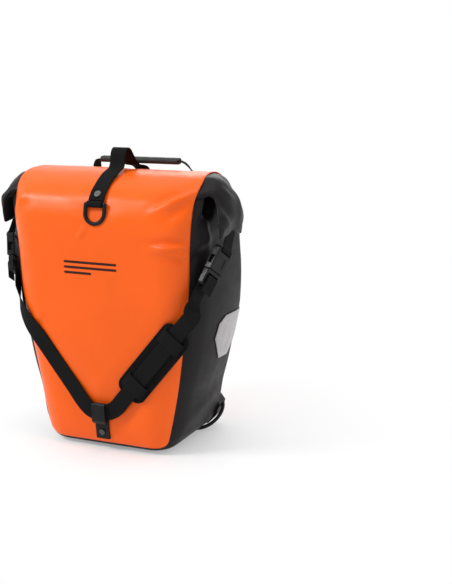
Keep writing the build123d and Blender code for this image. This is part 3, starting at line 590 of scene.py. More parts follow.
def roll_front():
    """The coloured sheet: up the front, over the roll and down behind it."""
    heights = np.concatenate([np.linspace(PANEL_LOW, 30, 10), np.linspace(30, FRONT_TURN, 84)[1:]])
    wall = np.array([spread_points(z, ("middle_front", 0), ("front_seam", 0), 46) for z in heights])
    last = wall[-1]
    columns = []
    for c in range(wall.shape[1]):
        share = c / (wall.shape[1] - 1)
        recess = last[c, 1] - last[0, 1]
        route = [tuple(wall[-3, c]), tuple(last[c])]
        for k, (y, z) in enumerate(ROLL_LINE):
            back = k / (len(ROLL_LINE) - 1)
            x_here = last[c, 0] + (share * ROLL_HALF - last[c, 0]) * smoothstep(0, 0.35, back)
            route.append((x_here, y + recess * (1 - smoothstep(0.0, 0.42, back)), z))
        line, number = curve_through(route, 2.0)
        line = line[number >= 1]
        run = run_along(line)
        even = np.linspace(0, run[-1], 78)[1:]
        columns.append(np.stack([np.interp(even, run, line[:, k]) for k in range(3)], axis=1))
    half = np.concatenate([wall, np.array(columns).transpose(1, 0, 2)], axis=0)
    grid = mirrored_columns(half)
    skew = smoothstep(-62, 26, grid[..., 1]) * smoothstep(384, 404, grid[..., 2])
    grid[..., 0] -= ROLL_SKEW * skew * smoothstep(-140, 110, grid[..., 0])
    x, z = grid[..., 0], grid[..., 2]
    row = np.arange(len(grid))[:, None]
    before_top = smoothstep(len(heights) + 34, len(heights) + 14, row)
    relief = front_relief(x, z) * before_top * smoothstep(1, 13, seam_distance(grid))
    behind = smoothstep(len(heights) + 52, len(heights) + 66, row)
    sag = 3.0 * np.exp(-((x + 70) / 55) ** 2) - 2.5 * np.exp(-((x - 80) / 60) ** 2)
    on_top = smoothstep(len(heights) + 20, len(heights) + 34, row) * (1 - behind)
    relief = relief + on_top * (0.7 * wander(x, grid[..., 1], 90, 21) - 0.8 * hump(x, 0, 22))
    grid = displaced(grid, relief, PROUD)
    grid[..., 2] += behind * sag
    return grid


def make_front_and_back(front):
    cloth("front_and_roll_fabric", front, "bag", "orange_fabric", ["front_panel", "closure_roll"], 1.1)
    heights = np.concatenate([np.linspace(PANEL_LOW + 2, 40, 12), np.linspace(40, WALL_TOP, 88)[1:]])
    half = np.array([spread_points(z, ("back_seam", 0), ("middle_back", 0), 38)[::-1] for z in heights])
    back = mirrored_columns(half)
    relief = back_relief(back[..., 0], back[..., 2]) * smoothstep(1, 12, seam_distance(back))
    back = displaced(back, relief, PROUD - 0.2, flip=True)
    cloth("back_fabric", back, "bag", "orange_fabric", ["back_panel"], 1.0, flip=True)


def make_gussets():
    """Both black sides. Returns the right one's grid."""
    heights = np.concatenate([np.linspace(9, 40, 14), np.linspace(40, WALL_TOP + 1, 118)[1:]])
    ends = ("front_seam", -OVERLAP), ("back_seam", OVERLAP)
    wall = np.array([spread_points(min(z, WALL_TOP), *ends, 58) for z in heights])
    run = run_across(wall) - OVERLAP
    from_edge = seam_distance(wall)
    held = smoothstep(OVERLAP, OVERLAP + 10, from_edge)
    held = np.where(run < 20, smoothstep(OVERLAP, OVERLAP + 7, from_edge), held)
    tucked = 3.0 * smoothstep(1, -1.5, run) * smoothstep(330, 348, wall[..., 2])
    gusset = displaced(wall, held * gusset_relief(run, wall[..., 1], wall[..., 2]) - tucked)
    cloth("gusset_fabric_right", gusset, "bag", "black_fabric", ["gusset_right"], 1.0)
    cloth("gusset_fabric_left", gusset * MIRROR, "bag", "black_fabric", ["gusset_left"], 1.0, flip=True)
    return gusset


def make_bottom():
    """The bottom and the low rim that the sheets come down over."""
    rims = []
    for z in (0.0, 0.8, 2.2, 4.2, 6.8, 10.0, 14.0, 18.0):
        near = spread_points(z, ("middle_front", 0), ("middle_back", 0), 90)
        rims.append(np.concatenate([near, near[::-1][1:-1] * MIRROR]))
    rims = np.array(rims)
    rims[..., :2] *= 1 - 0.012 * smoothstep(7, 16, rims[..., 2])[..., None]
    inner = [rims[0] * np.array([k, k, 1]) + np.array([0, 0, 0.35 * (1 - k)])
             for k in (0.25, 0.5, 0.75, 0.93)]
    rings = np.concatenate([np.array(inner), rims])
    rows, columns = rings.shape[:2]
    faces = grid_faces(rows, columns, around=True)
    faces.append(tuple(range(columns))[::-1])
    shape = rings.reshape(-1, 3), faces, rings[..., :2].reshape(-1, 2)
    piece("bottom_fabric", "bag", "black_fabric", shape, "gusset_bottom")


def side_point(gusset, y, z):
    """A point of the right gusset at (y, z), and the way out of it."""
    rows = gusset[:, :, 2].mean(axis=1)
    r = int(np.clip(np.searchsorted(rows, z), 1, len(rows) - 2))
    t = (z - rows[r - 1]) / (rows[r] - rows[r - 1])
    low, high = (np.interp(y, gusset[k, :, 1], gusset[k, :, 0]) for k in (r - 1, r))
    return np.array([low * (1 - t) + high * t, y, z]), unit(np.array([1.0, -0.12, 0.0]))


# the reflector's corners, as y and height
REFLECTOR = [(70, 204), (4, 206), (-14, 196), (-20, 174), (2, 138), (34, 136), (74, 182)]


def make_reflectors(gusset):
    corners = np.array(REFLECTOR, float)
    edge = []
    for a, b in zip(corners, np.roll(corners, -1, axis=0)):
        edge += [a + (b - a) * t for t in np.linspace(0, 1, 10)[:-1]]
    edge = np.array(edge)
    middle = corners.mean(axis=0)
    rings = []
    for k in np.linspace(0.02, 1, 14):
        ring = []
        for y, z in middle + (edge - middle) * k:
            point, out = side_point(gusset, y, z)
            crumple = 0.5 * float(wander(np.array(y), np.array(z), 30, 41)) * (1 - k**6)
            ring.append(point + out * (0.9 + crumple))
        rings.append(ring)
    rings = np.array(rings)
    faces = grid_faces(len(rings), len(edge), around=True)
    faces.append(tuple(range(len(edge)))[::-1])
    uv = rings[..., 1:].reshape(-1, 2)
    for side, name in ((1, "right"), (-1, "left")):
        flipped = [f[::-1] for f in faces] if side < 0 else faces
        points = (rings * np.array([side, 1, 1])).reshape(-1, 3)
        patch = mesh_object(f"reflective_patch_{name}", points, flipped, uv)
        thicken(patch, 0.7)
        place(patch, "bag", FINISHES["reflective"], "reflective", f"reflector_{name}")


# ---- roll ends ---------------------------------------------------------------------------------------
# along each folded-down end: x, z, heading in degrees below level, front edge, rear edge, thickness
ROLL_ENDS = {
    "right": np.array([
        (130, 406.0, 0, -62, 62, 21),
        (146, 406.4, 0, -61, 60, 21),
        (155, 406.2, 5, -57, 54, 20),
        (163, 404.4, 18, -50, 46, 18),
        (170, 399.0, 42, -48, 38, 16),
        (176.5, 390, 62, -52, 33, 14.5),
        (181.5, 379, 74, -60, 28, 13.5),
        (185.5, 368, 84, -68, 20, 13),
        (187.5, 357, 90, -69, 12, 10.5),
        (187, 345, 90, -68, 11, 7),
    ], float),
    "left": np.array([
        (138, 405.8, 0, -62, 62, 21),
        (151, 405.2, 3, -62, 58, 19),
        (157, 403.6, 18, -64, 50, 17.5),
        (163.5, 399, 46, -66, 40, 16.5),
        (168, 393, 68, -67, 31, 15.5),
        (170.5, 382, 82, -66, 22, 13.5),
        (171.5, 370, 88, -65, 14, 12),
        (171.5, 358, 90, -64, 10, 10),
        (171, 347, 90, -63, 9, 7),
    ], float),
}
END_AROUND = 64


def end_section(station, share):
    """One ring of a roll end; share runs from 0 at the seam to 1 at the free end."""
    x, z, heading, front, rear, thick = station
    middle, half = (front + rear) / 2, (rear - front) / 2
    a = math.radians(heading)
    out = np.array([math.sin(a), 0, math.cos(a)])
    along = np.array([math.cos(a), 0, -math.sin(a)])
    ring = []
    for angle in np.linspace(0, 2 * math.pi, END_AROUND, endpoint=False):
        c, s = math.cos(angle), math.sin(angle)
        w = half * math.copysign(abs(c) ** 0.6, c)
        round_roll = 1 - 0.42 * smoothstep(0.2, 1, -w / half) * smoothstep(0.5, 0.1, share) * (s > 0)
        h = thick / 2 * math.copysign(abs(s) ** 0.75, s) * round_roll
        y = middle + w
        tilt = -0.45 * max(0.0, y + 14) * smoothstep(0.10, 0.46, share)
        tilt -= 0.45 * max(0.0, -28 - y) + 0.22 * max(0.0, y - 18)
        hang = smoothstep(0.55, 1, share) * (0.14 * (y - front) - 9)
        ring.append(np.array([x, y, z + tilt]) + out * h + along * hang)
    return np.array(ring)


def end_relief(y, z, angle, share):
    """Folds of a roll end. angle runs round a ring and share along the end."""
    edge_fold = -2.4 * np.exp(-((angle - math.pi) / 0.16) ** 2) * smoothstep(0.2, 0.35, share)
    folds = 3.0 * crease(y, z, (-66, 408), (-30, 346), 8, 1.0, 0.9) * smoothstep(0.3, 0.5, share)
    folds = folds - 2.6 * crease(y, z, (16, 398), (-10, 352), 7, 1.0)
    folds = folds + 2.0 * crease(y, z, (-34, 412), (4, 380), 6, 1.0, 0.6) * smoothstep(0.2, 0.4, share)
    folds = folds + 1.2 * wander(y, z, 42, 31) * smoothstep(0.1, 0.35, share)
    return edge_fold + smoothstep(0.0, 0.5, np.sin(angle)) * folds


def end_rings(table, angle):
    """All rings of a roll end, with its folds and its tip."""
    line, number = curve_through(table[:, [0, 1]], 1.6)
    share = number / number[-1]
    rings = []
    for (x, z), k, along in zip(line, number, share):
        rest = [np.interp(k, range(len(table)), table[:, c]) for c in (2, 3, 4, 5)]
        rings.append(end_section((x, z, *rest), along))
    rings = np.array(rings)
    wrapped = np.concatenate([rings[:, -1:], rings, rings[:, :1]], axis=1)
    normals = -grid_normals(wrapped)[:, 1:-1]
    rings = rings + normals * end_relief(rings[..., 1], rings[..., 2], angle, share[:, None])[..., None]
    middle = rings[-1].mean(axis=0)
    tip = [rings[-1] * (1 - k) + middle * k - np.array([0, 0, drop])
           for k, drop in ((0.06, 1.0), (0.4, 0.4), (0.85, 0))]
    return np.concatenate([rings, np.array(tip)])


def make_roll_ends():
    angle = np.linspace(0, 2 * math.pi, END_AROUND, endpoint=False)[None, :]
    for side, name in ((1, "right"), (-1, "left")):
        rings = end_rings(ROLL_ENDS[name], angle)
        last = (len(rings) - 1) * END_AROUND
        faces = grid_faces(len(rings), END_AROUND, around=True)
        faces += [tuple(range(END_AROUND)), tuple(range(last, last + END_AROUND))[::-1]]
        uv = np.stack([np.broadcast_to(angle * 30, rings.shape[:2]), rings[..., 2]], axis=-1).reshape(-1, 2)
        turned = faces if side < 0 else [f[::-1] for f in faces]
        shape = (rings * np.array([side, 1, 1])).reshape(-1, 3), turned, uv
        piece(f"roll_end_fabric_{name}", "bag", "black_fabric", shape, f"roll_end_{name}")


# ---- webbing -----------------------------------------------------------------------------------------
def strap_profile(width, thick, count=12):
    """The cross-section of a woven strap: flat in the middle with a slightly fuller edge each side."""
    ring = []
    half = width / 2
    for i in range(count + 1):
        u = -half + width * i / count
        edge = smoothstep(half - 2.6, half - 1.2, abs(u)) - smoothstep(half - 0.7, half, abs(u)) * 1.5
        ring.append((u, thick / 2 * (0.86 + 0.24 * edge)))
    lower = [(u, -h) for u, h in reversed(ring)]
    return ring + lower


def strap_mesh(points, normals, width, thick, step=3.0):
    """(vertices, faces, uv) of a strap along the points, lying square to the normals."""
    line, number = curve_through(points, step)
    n = np.array([[np.interp(k, range(len(normals)), np.asarray(normals, float)[:, c]) for c in range(3)]
                  for k in number])
    along = unit(np.gradient(line, axis=0))
    side = unit(np.cross(along, n))
    out = unit(np.cross(side, along))
    ring = strap_profile(width, thick)
    run = run_along(line)
    verts, uv = [], []
    for i, centre in enumerate(line):
        for u, h in ring:
            verts.append(centre + side[i] * u + out[i] * h)
            uv.append((u, run[i]))
    return verts, capped_faces(len(line), len(ring)), uv


def strap(name, body, points, normals, width, thick, replaced=(), step=3.0):
    return piece(name, body, "webbing", strap_mesh(points, normals, width, thick, step), *replaced)


def stitch_line(points, out, pitch=3.6, length=2.5, radius=0.32):
    """Thread stitches lying along a line on a surface whose way out is the same all along it."""
    line, _ = curve_through(points, 0.6)
    run = run_along(line)
    parts = []
    out = unit(out)
    for start in np.arange(0.4, run[-1] - length, pitch):
        ends = [np.array([np.interp(s, run, line[:, c]) for c in range(3)]) for s in (start, start + length)]
        along = unit(ends[1] - ends[0])
        side = np.cross(along, out)
        rings = []
        for t, grow, lift in ((0, 0.35, -0.15), (0.2, 1, 0.12), (0.8, 1, 0.12), (1, 0.35, -0.15)):
            centre = ends[0] * (1 - t) + ends[1] * t + out * lift
            rings.append([centre + (side * math.cos(a) + out * math.sin(a)) * radius * grow
                          for a in np.linspace(0, 2 * math.pi, 6, endpoint=False)])
        verts = np.array(rings).reshape(-1, 3)
        parts.append((verts, capped_faces(4, 6), [(v[0], v[2]) for v in verts]))
    return parts


def sewn(name, body, parts, slot_name="webbing"):
    return place(mesh_object(name, *join_parts(parts)), body, THREAD, slot_name)


STRAP_TOP = {-1: np.array([-183.0, -24.0, 343.0]), 1: np.array([190.0, -24.0, 343.0])}
END_REACH = {-1: 172.0, 1: 188.0}
RIGHT_KNEE = np.array([150.0, -96.1, 222.2])
LEFT_KNEE = np.array([-150.0, -80.0, 217.0])
BUCKLE_NORMAL = np.array([0.94, -0.30, -0.13])
BUCKLE_DROP = 69.0
BUCKLE_BAR = 35.0
STRAP_UNDER = 5.4
STRAP_HOOK_Z = 63.5


def buckle_axes(side):
    """Origin at the socket's mouth, the way up the strap and the way out, of a side buckle."""
    top = STRAP_TOP[side]
    knee = RIGHT_KNEE if side > 0 else LEFT_KNEE
    up = unit(top - knee)
    out = BUCKLE_NORMAL * np.array([side, 1, 1])
    out = unit(out - up * (out @ up))
    return top - up * BUCKLE_DROP, up, out


def closure_axes():
    up = unit(np.array([0, 8.5, -62.0]))
    out = unit(np.array([0, 62.0, 8.5]))
    return np.array([0, 80.6, 379.5]), up, out


def shoulder_route():
    right, right_up, right_out = buckle_axes(1)
    left, left_up, left_out = buckle_axes(-1)
    out = np.array([0, -1.0, 0])
    stations = [(right + right_up * x - right_out * STRAP_UNDER, right_out) for x in (-4, -26, -49)]
    last = stations[-1][0]
    stations.append((last + (RIGHT_KNEE - last) * 0.5, right_out + out))
    stations.append((RIGHT_KNEE + np.array([3, 1.2, 3.8]), right_out * 0.4 + out))
    for x in (146, 90, 40, 28):
        stations.append((np.array([x, -96.1, 222.2 - 1.218 * (150 - x)]), out))
    for point in ((18, -96.0, 67.4), (8, -95.7, STRAP_HOOK_Z + 0.6), (-8, -95.4, STRAP_HOOK_Z + 0.4),
                  (-18, -94.8, 67.2), (-29, -94.0, 77.0), (-45, -92.6, 97.2), (-70, -91.8, 129.2)):
        stations.append((np.array(point, float), out))
    wrap = 42.4
    for degrees in (90, 78, 66, 54, 43):
        a = math.radians(degrees)
        face = np.array([-math.cos(a), -math.sin(a), 0])
        height = 172.9 + 1.22 * math.radians(90 - degrees) * wrap
        centre = np.array([-104 - 0.155 * (height - 181.5), -50, height])
        stations.append((centre + face * wrap, face))
    stations += [(left + left_up * x - left_out * STRAP_UNDER, left_out) for x in (-49, -26, -4)]
    return [s[0] for s in stations], [unit(s[1]) for s in stations]


def tail_route(origin, up, out, length):
    places = [(-8.3, -3.0), (-8.3, 3.2), (-9.2, 5.2), (-11, 5.9), (-15.8, 5.9), (-25.5, 5.4)]
    places.append((-25.5 - length, 5.0))
    points, normals = [], []
    for i, (x, z) in enumerate(places):
        x0, z0 = places[max(i - 1, 0)]
        x1, z1 = places[min(i + 1, len(places) - 1)]
        points.append(origin + up * x + out * z)
        normals.append(unit(up * (z1 - z0) - out * (x1 - x0)))
    return points, normals


def tab_route(side):
    origin, up, out = buckle_axes(side)
    bar = origin + up * BUCKLE_BAR
    level = np.array([side, 0, 0], float)
    inside = np.array([side * END_REACH[side], STRAP_TOP[side][1], 352.0])
    points = [inside, inside - np.array([0, 0, 6.0]), bar + out * 3.4 + up * 6, bar + out * 6.9 + up * 1.2,
              bar + out * 6.9 - up * 2.6, bar + out * 4.6 - up * 4.3, bar - out * 4.0 - up * 4.3]
    normals = [level, level, unit(np.array([side, -0.2, 0]) + out), out, unit(out - up * 0.4), -up, -up]
    return points, normals


RING_BAR = np.array([0, -87.0, 378.0])
CLOSURE_ROUTE = [
    (-83.7, 382.7), (-80.6, 387.4), (-73.8, 395.2), (-64.0, 402.4), (-51.0, 410.8), (-38.0, 417.2),
    (-27.0, 420.6), (-19.5, 423.4), (-15.5, 429.0), (-13.5, 437.0), (-11.5, 445.0), (-7.0, 450.4),
    (-0.5, 451.6), (6.0, 448.4), (12.5, 441.6), (19.5, 434.2), (26.5, 427.8), (33.0, 424.0), (40.0, 422.2),
    (49.0, 420.8), (58.0, 418.6), (66.0, 414.2),
]


def make_straps():
    points, normals = shoulder_route()
    strap("shoulder_webbing", "bag", points, normals, 25, 1.6, ["shoulder_strap"])
    for side, name in ((1, "right"), (-1, "left")):
        points, normals = tab_route(side)
        strap(f"side_tab_{name}", "bag", points, normals, 24, 1.4, [f"{name}_webbing_tab"], step=1.5)
        points, normals = tail_route(*buckle_axes(side), 9)
        strap(f"strap_end_{name}", f"{name}_plug", points, normals, 25, 1.4, [f"{name}_strap_tail"], step=1.2)

    origin, up, out = closure_axes()
    route = [np.array([0, y, z]) for y, z in CLOSURE_ROUTE]
    route += [origin + up * x - out * STRAP_UNDER for x in (-30.0, -4.0)]
    line = np.array(route)
    along = unit(np.gradient(line, axis=0))
    normals = [unit(np.cross([1, 0, 0], t)) for t in along]
    strap("closure_webbing", "bag", route, normals, 25, 1.7, ["closure_strap"], step=1.5)
    eye = []
    for a in np.linspace(0, 2 * math.pi, 25)[:-1]:
        eye.append(RING_BAR + np.array([0, math.cos(a), math.sin(a)]) * 4.2)
    eye.append(eye[0])
    normals = [unit(p - RING_BAR) for p in eye]
    strap("ring_eye_webbing", "bag", eye, normals, 24.4, 1.7, step=1.0)
    lift = np.array([0, -0.72, 0.70])
    sewn("closure_stitching", "bag", stitch_line([(-10.5, -84.6, 384.6), (10.5, -84.6, 384.6)], lift)
         + stitch_line([(-10.5, -71.8, 398.6), (10.5, -71.8, 398.6)], lift))

    bar = origin + up * BUCKLE_BAR
    points = [np.array([0, 81.4, 305.5]), np.array([0, 81.4, 334.5]), bar - out * 6.5 + up * 6,
              bar - out * 6.9 + up * 1.4, bar - out * 6.9 - up * 3.0, bar - out * 4.4 - up * 4.6,
              bar + out * 1.0 - up * 4.6, bar + out * 4.6 - up * 2.4]
    rear = np.array([0, 1.0, 0])
    normals = [rear, rear, out, out, out, -up, -up, unit(-out - up)]
    strap("anchor_strap", "bag", points, normals, 24, 1.4, ["anchor_webbing"], step=1.2)


HANDLE_LEG = [
    (88.0, 89.5, 389.1), (87.8, 90.0, 394.0), (86.6, 91.0, 401.0), (85.4, 91.8, 408.0), (83.6, 92.0, 416.0),
    (80.8, 92.0, 424.0), (77.0, 92.0, 430.6), (72.4, 92.0, 434.8), (67.4, 92.0, 436.0), (40.0, 92.0, 436.0),
]
HANDLE_LEAN = math.radians(36)
LUG_BAR = (89.5, 384.0)


def leaned(point):
    """A point of the upright handle, once the handle leans forward over the roll."""
    x, y, z = point
    c, s = math.cos(HANDLE_LEAN), math.sin(HANDLE_LEAN)
    dy, dz = y - LUG_BAR[0], z - LUG_BAR[1]
    return np.array([x, LUG_BAR[0] + dy * c - dz * s, LUG_BAR[1] + dy * s + dz * c])


def make_handle():
    c, s = math.cos(HANDLE_LEAN), math.sin(HANDLE_LEAN)
    facing = [(0, c, s), (0, c, s), (0.2, c, s), (0.5, c, s), (0.9, 0.7, 0.8), (0.9, 0.3, 0.9), (0.4, 0, 1),
              (0, 0, 1), (0, 0, 1), (0, 0, 1)]
    points = [leaned(p) for p in HANDLE_LEG]
    points += [p * MIRROR for p in points[::-1]]
    normals = [unit(np.array(n, float)) for n in facing]
    normals += [n * MIRROR for n in normals[::-1]]
    strap("handle_strap", "handle", points, normals, 14, 1.6, ["handle_webbing"], step=2.0)
    threads = []
    for side, name in ((-1, "left"), (1, "right")):
        bar = np.array([side * 88.0, *LUG_BAR])
        ring = [bar + np.array([0, math.cos(a), math.sin(a)]) * 5.2 for a in np.linspace(0, 2 * math.pi, 23)]
        normals = [unit(p - bar) for p in ring]
        strap(f"handle_eye_{name}", "handle", ring, normals, 13.6, 1.4, step=1.2)
        for height in (391.5, 397.5):
            ends = [leaned((side * 87.6 + u, 91.1 + (height - 391.5) * 0.08, height)) for u in (-5, 5)]
            threads += stitch_line(ends, (0, c, s), 2.6, 1.8, 0.28)
    sewn("handle_stitching", "handle", threads)


# length and height of each printed bar
BARS = ((88, 292), (88, 284), (46, 276))
BAR_START = -53
BAR_HALF = 1.8


def make_badge(front):
    """Three plain printed bars that lie on the front sheet."""
    rows = front[:, :, 2]
    middle = front.shape[1] // 2
    usable = int(np.argmax(rows[:, middle]))
    bars = []
    for length, height in BARS:
        ring_rows = []
        for dz in np.linspace(-BAR_HALF, BAR_HALF, 5):
            pull = BAR_HALF - math.sqrt(max(0.0, BAR_HALF**2 - dz * dz))
            line = []
            for x in np.linspace(BAR_START + pull, BAR_START + length - pull, 40):
                r = np.searchsorted(rows[:usable, middle], height + dz)
                y = np.interp(x, front[r, :, 0], front[r, :, 1])
                line.append((x, y - 0.18, height + dz))
            ring_rows.append(line)
        grid = np.array(ring_rows)
        bars.append((grid.reshape(-1, 3), grid_faces(5, 40), grid[..., [0, 2]].reshape(-1, 2)))
    piece("printed_bars", "bag", "black_print", join_parts(bars), "front_badge")


# ---- shoulder pad ------------------------------------------------------------------------------------
PAD_CENTRE = np.array([90.0, -92.75, 149.1])
PAD_ALONG = unit(np.array([0.6345, 0, 0.7729]))
PAD_ACROSS = np.array([-PAD_ALONG[2], 0, PAD_ALONG[0]])
PAD_LENGTH, PAD_WIDTH, PAD_THICK = 140.0, 48.0, 4.5
PAD_CORNER = 14.0
PAD_AROUND = 168
PAD_SEAM = 3.6
BRIDGES = (-47.0, 47.0)
BRIDGE_ROUTE = [(-19.5, 2.35), (-18.0, 2.9), (-15.5, 5.7), (-13, 6.25), (0, 6.4), (13, 6.25), (15.5, 5.7),
                (18.0, 2.9), (19.5, 2.35)]


def on_pad(u, v, height):
    """The point u along the pad, v across it and height above its middle."""
    return PAD_CENTRE + PAD_ALONG * u + PAD_ACROSS * v + FORWARD * height


def make_keepers():
    """Two low bridges of webbing on the pad."""
    parts, threads = [], []
    for middle in BRIDGES:
        points = [on_pad(middle, v, height) for v, height in BRIDGE_ROUTE]
        normals = [unit(np.cross(t, PAD_ALONG)) for t in unit(np.gradient(np.array(points), axis=0))]
        normals = [n if n @ FORWARD > 0 else -n for n in normals]
        parts.append(strap_mesh(points, normals, 22, 1.2, 1.2))
        for v in (-18.6, 18.6):
            ends = [on_pad(middle + s, v, 3.55) for s in (-9.5, 9.5)]
            threads += stitch_line(ends, FORWARD, 3.0, 2.1, 0.3)
    piece("pad_bridges", "pad", "webbing", join_parts(parts), "pad_keepers")
    sewn("pad_bridge_stitching", "pad", threads)


def pad_edge(t):
    """A point of the pad's rounded outline, t running once round it."""
    line = []
    for i, (cx, cy) in enumerate(((1, 1), (-1, 1), (-1, -1), (1, -1))):
        for angle in np.linspace(0, math.pi / 2, 8) + i * math.pi / 2:
            line.append(((PAD_LENGTH / 2 - PAD_CORNER) * cx + PAD_CORNER * math.cos(angle),
                         (PAD_WIDTH / 2 - PAD_CORNER) * cy + PAD_CORNER * math.sin(angle)))
    line = np.array(line + line[:1])
    run = run_along(line)
    return np.array([np.interp(t * run[-1], run, line[:, k]) for k in range(2)])


def pad_rings(rim, spine):
    """Rings from the middle of the crowned face, over the edge, to the middle of the flat back."""
    rings = []
    for k, face in [(k, 1) for k in np.linspace(0.0, 1.0, 22)] + [(k, -1) for k in np.linspace(1.0, 0.0, 12)]:
        flat = spine + (rim - spine) * k
        crown = math.sqrt(max(0.0, 1 - k**6))
        height = np.full(len(rim), -(PAD_THICK / 2 - 0.15) * crown)
        if face > 0:
            channel = 0.9 * np.exp(-((1 - k) * PAD_WIDTH / 2 - PAD_SEAM) ** 2)
            ripple = 0.25 * wander(flat[:, 0], flat[:, 1], 24, 51) * crown
            height = (PAD_THICK / 2 - 0.1) * crown - channel + ripple
        rings.append([on_pad(*p, h) for p, h in zip(flat, height)])
    return np.array(rings)


def pad_binding(rim, spine):
    """A thin round edge, as (vertices, faces, uv)."""
    tube = []
    for p, q in zip(rim, spine):
        outward = unit(p - q)
        way = PAD_ALONG * outward[0] + PAD_ACROSS * outward[1]
        centre = on_pad(*p, 0) - way * 0.9
        tube.append([centre + (way * math.cos(a) + FORWARD * math.sin(a)) * 1.5
                     for a in np.linspace(0, 2 * math.pi, 8, endpoint=False)])
    tube = np.array(tube + tube[:1])
    uv = np.stack([np.tile(np.arange(8) * 1.2, (len(tube), 1)),
                   np.tile(np.arange(len(tube))[:, None] * 2.1, (1, 8))], axis=-1).reshape(-1, 2)
    return tube.reshape(-1, 3), grid_faces(len(tube), 8, around=True), uv


def make_pad():
    """The sliding shoulder pad: a crowned, quilted strip with a bound edge."""
    rim = np.array([pad_edge(i / PAD_AROUND) for i in range(PAD_AROUND)])
    reach = (PAD_LENGTH - PAD_WIDTH) / 2
    spine = np.stack([np.clip(rim[:, 0], -reach, reach), rim[:, 1] * 0], axis=1)
    rings = pad_rings(rim, spine)
    faces = grid_faces(len(rings), PAD_AROUND, around=True, flip=True)
    uv = np.broadcast_to(rim[None], (len(rings), PAD_AROUND, 2)).reshape(-1, 2)
    pad = mesh_object("shoulder_pad_cushion", rings.reshape(-1, 3), faces, uv)
    weld = pad.modifiers.new("close", "WELD")
    weld.merge_threshold = 0.00005
    place(pad, "pad", FINISHES["pad_fabric"], "pad_fabric", "shoulder_pad")
    place(mesh_object("pad_edge_binding", *pad_binding(rim, spine)), "pad", FINISHES["webbing"], "pad_fabric")
    inner = spine + (rim - spine) * (1 - PAD_SEAM / (PAD_WIDTH / 2))
    path = [on_pad(*p, PAD_THICK / 2 - 0.65) for p in [*inner, inner[0]][::3]]
    sewn("pad_stitching", "pad", stitch_line(path + path[:1], FORWARD, 3.2, 2.2, 0.28), "pad_fabric")


# ---- the CAD's own hardware --------------------------------------------------------------------------
def finish_hardware():
    """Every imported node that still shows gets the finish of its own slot."""
    for part in frame["record"]["subparts"]:
        node = NODES[part["node"]]
        node.data.materials.clear()
        node.data.materials.append(FINISHES[part["material_slot"]])


# ---- stage, light and camera -------------------------------------------------------------------------
FLOOR_REACH = 40000.0
FLOOR_FADE = (-0.06, 0.42)
LENS = 59.97
CAMERA_PLACE = Vector((0.692, -1.3086, 0.5803))
CAMERA_LOOK = Vector((-0.362, 0.903, -0.233))
CAMERA_ROLL = math.radians(-0.32)


def make_stage():
    """A plain pale floor that fades into the white room around it."""
    corners = [(x * FLOOR_REACH, y * FLOOR_REACH, -0.2) for x, y in ((-1, -1), (1, -1), (1, 1), (-1, 1))]
    floor = mesh_object("floor", np.array(corners), [(0, 1, 2, 3)])
    paint = Finish("studio_floor", (0.92, 0.92, 0.925), 0.8, specular=0.0)
    room = paint.node("ShaderNodeEmission", Strength=1.0)
    blend = paint.node("ShaderNodeMixShader")
    away = paint.node("ShaderNodeVectorMath", operation="LENGTH")
    paint.wire(paint.place, away.inputs[0])
    paint.wire(paint.spread(away.outputs["Value"], 0, 1, FLOOR_FADE), blend.inputs[0])
    paint.wire(paint.shader.outputs[0], blend.inputs[1])
    paint.wire(room.outputs[0], blend.inputs[2])
    paint.wire(blend.outputs[0], paint.nodes["Material Output"].inputs["Surface"])
    floor.data.materials.append(paint.material)


def soft_light(name, place_at, look_at, size, power, colour=(1, 1, 1)):
    lamp = bpy.data.lights.new(name, "AREA")
    lamp.shape = "RECTANGLE"
    lamp.size, lamp.size_y = size
    lamp.energy = power
    lamp.color = colour
    obj = bpy.data.objects.new(name, lamp)
    obj.location = place_at
    obj.rotation_mode = "QUATERNION"
    obj.rotation_quaternion = (Vector(look_at) - Vector(place_at)).to_track_quat("-Z", "Y")
    bpy.context.scene.collection.objects.link(obj)


ROOM_DIM_SIDE = (0.20, -0.96, 0.20)
ROOM_DIM = 0.35
ROOM_DIM_SPAN = (0.0, 0.6)
ROOM_DIM_HEIGHT = (0.10, 0.32)


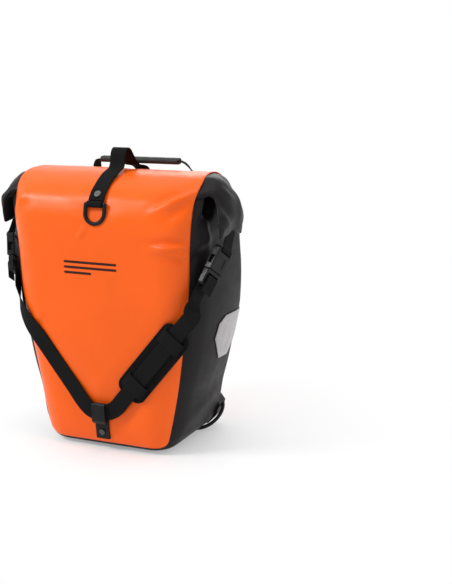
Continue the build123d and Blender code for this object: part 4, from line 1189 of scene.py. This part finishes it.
def make_room():
    """A white room, dimmer on the viewer's side so that the key light draws the folds."""
    world = bpy.data.worlds.new("studio")
    world.use_nodes = True
    nodes, links = world.node_tree.nodes, world.node_tree.links
    background = nodes["Background"]
    background.inputs["Color"].default_value = (1, 1, 1, 1)
    facing = nodes.new("ShaderNodeVectorMath")
    facing.operation = "DOT_PRODUCT"
    facing.inputs[1].default_value = ROOM_DIM_SIDE
    direction = nodes.new("ShaderNodeTexCoord").outputs["Generated"]
    parts = nodes.new("ShaderNodeSeparateXYZ")
    links.new(direction, facing.inputs[0])
    links.new(direction, parts.inputs["Vector"])
    dimmed = []
    for source, span in ((facing.outputs["Value"], ROOM_DIM_SPAN), (parts.outputs["Z"], ROOM_DIM_HEIGHT)):
        share = nodes.new("ShaderNodeMapRange")
        for key, number in zip(("From Min", "From Max", "To Min", "To Max"), (*span, 0.0, 1.0)):
            share.inputs[key].default_value = number
        links.new(source, share.inputs["Value"])
        dimmed.append(share.outputs["Result"])
    both = nodes.new("ShaderNodeMath")
    both.operation = "MULTIPLY"
    level = nodes.new("ShaderNodeMath")
    level.operation = "MULTIPLY_ADD"
    level.inputs[1].default_value = ROOM_DIM - 1
    level.inputs[2].default_value = 1.0
    for source, target in zip(dimmed, both.inputs):
        links.new(source, target)
    links.new(both.outputs[0], level.inputs[0])
    links.new(level.outputs[0], background.inputs["Strength"])
    bpy.context.scene.world = world


def make_lights():
    make_room()
    target = (0, 0, 0.2)
    soft_light("key", (-1.5, -1.2, 1.9), target, (0.6, 0.6), 38)
    soft_light("top", (0.3, -0.1, 2.2), target, (0.9, 0.7), 8)
    soft_light("side", (2.2, -0.3, 1.0), target, (0.6, 1.2), 4)
    soft_light("back", (-0.6, 2.3, 1.2), target, (1.2, 1.0), 6)


def make_camera():
    data = bpy.data.cameras.new("camera")
    data.lens = LENS
    data.sensor_width = 36.0
    data.clip_start, data.clip_end = 0.05, 60
    data.dof.use_dof = False
    camera = bpy.data.objects.new("camera", data)
    camera.location = CAMERA_PLACE
    camera.rotation_mode = "QUATERNION"
    turn = CAMERA_LOOK.to_track_quat("-Z", "Y").to_matrix() @ Matrix.Rotation(CAMERA_ROLL, 3, "Z")
    camera.rotation_quaternion = turn.to_quaternion()
    bpy.context.scene.collection.objects.link(camera)
    bpy.context.scene.camera = camera


finish_hardware()
front_sheet = roll_front()
make_front_and_back(front_sheet)
gusset_sheet = make_gussets()
make_bottom()
make_reflectors(gusset_sheet)
make_roll_ends()
make_badge(front_sheet)
make_straps()
make_pad()
make_keepers()
make_handle()
make_stage()
make_lights()
make_camera()
bpy.context.scene.view_settings.view_transform = "Standard"
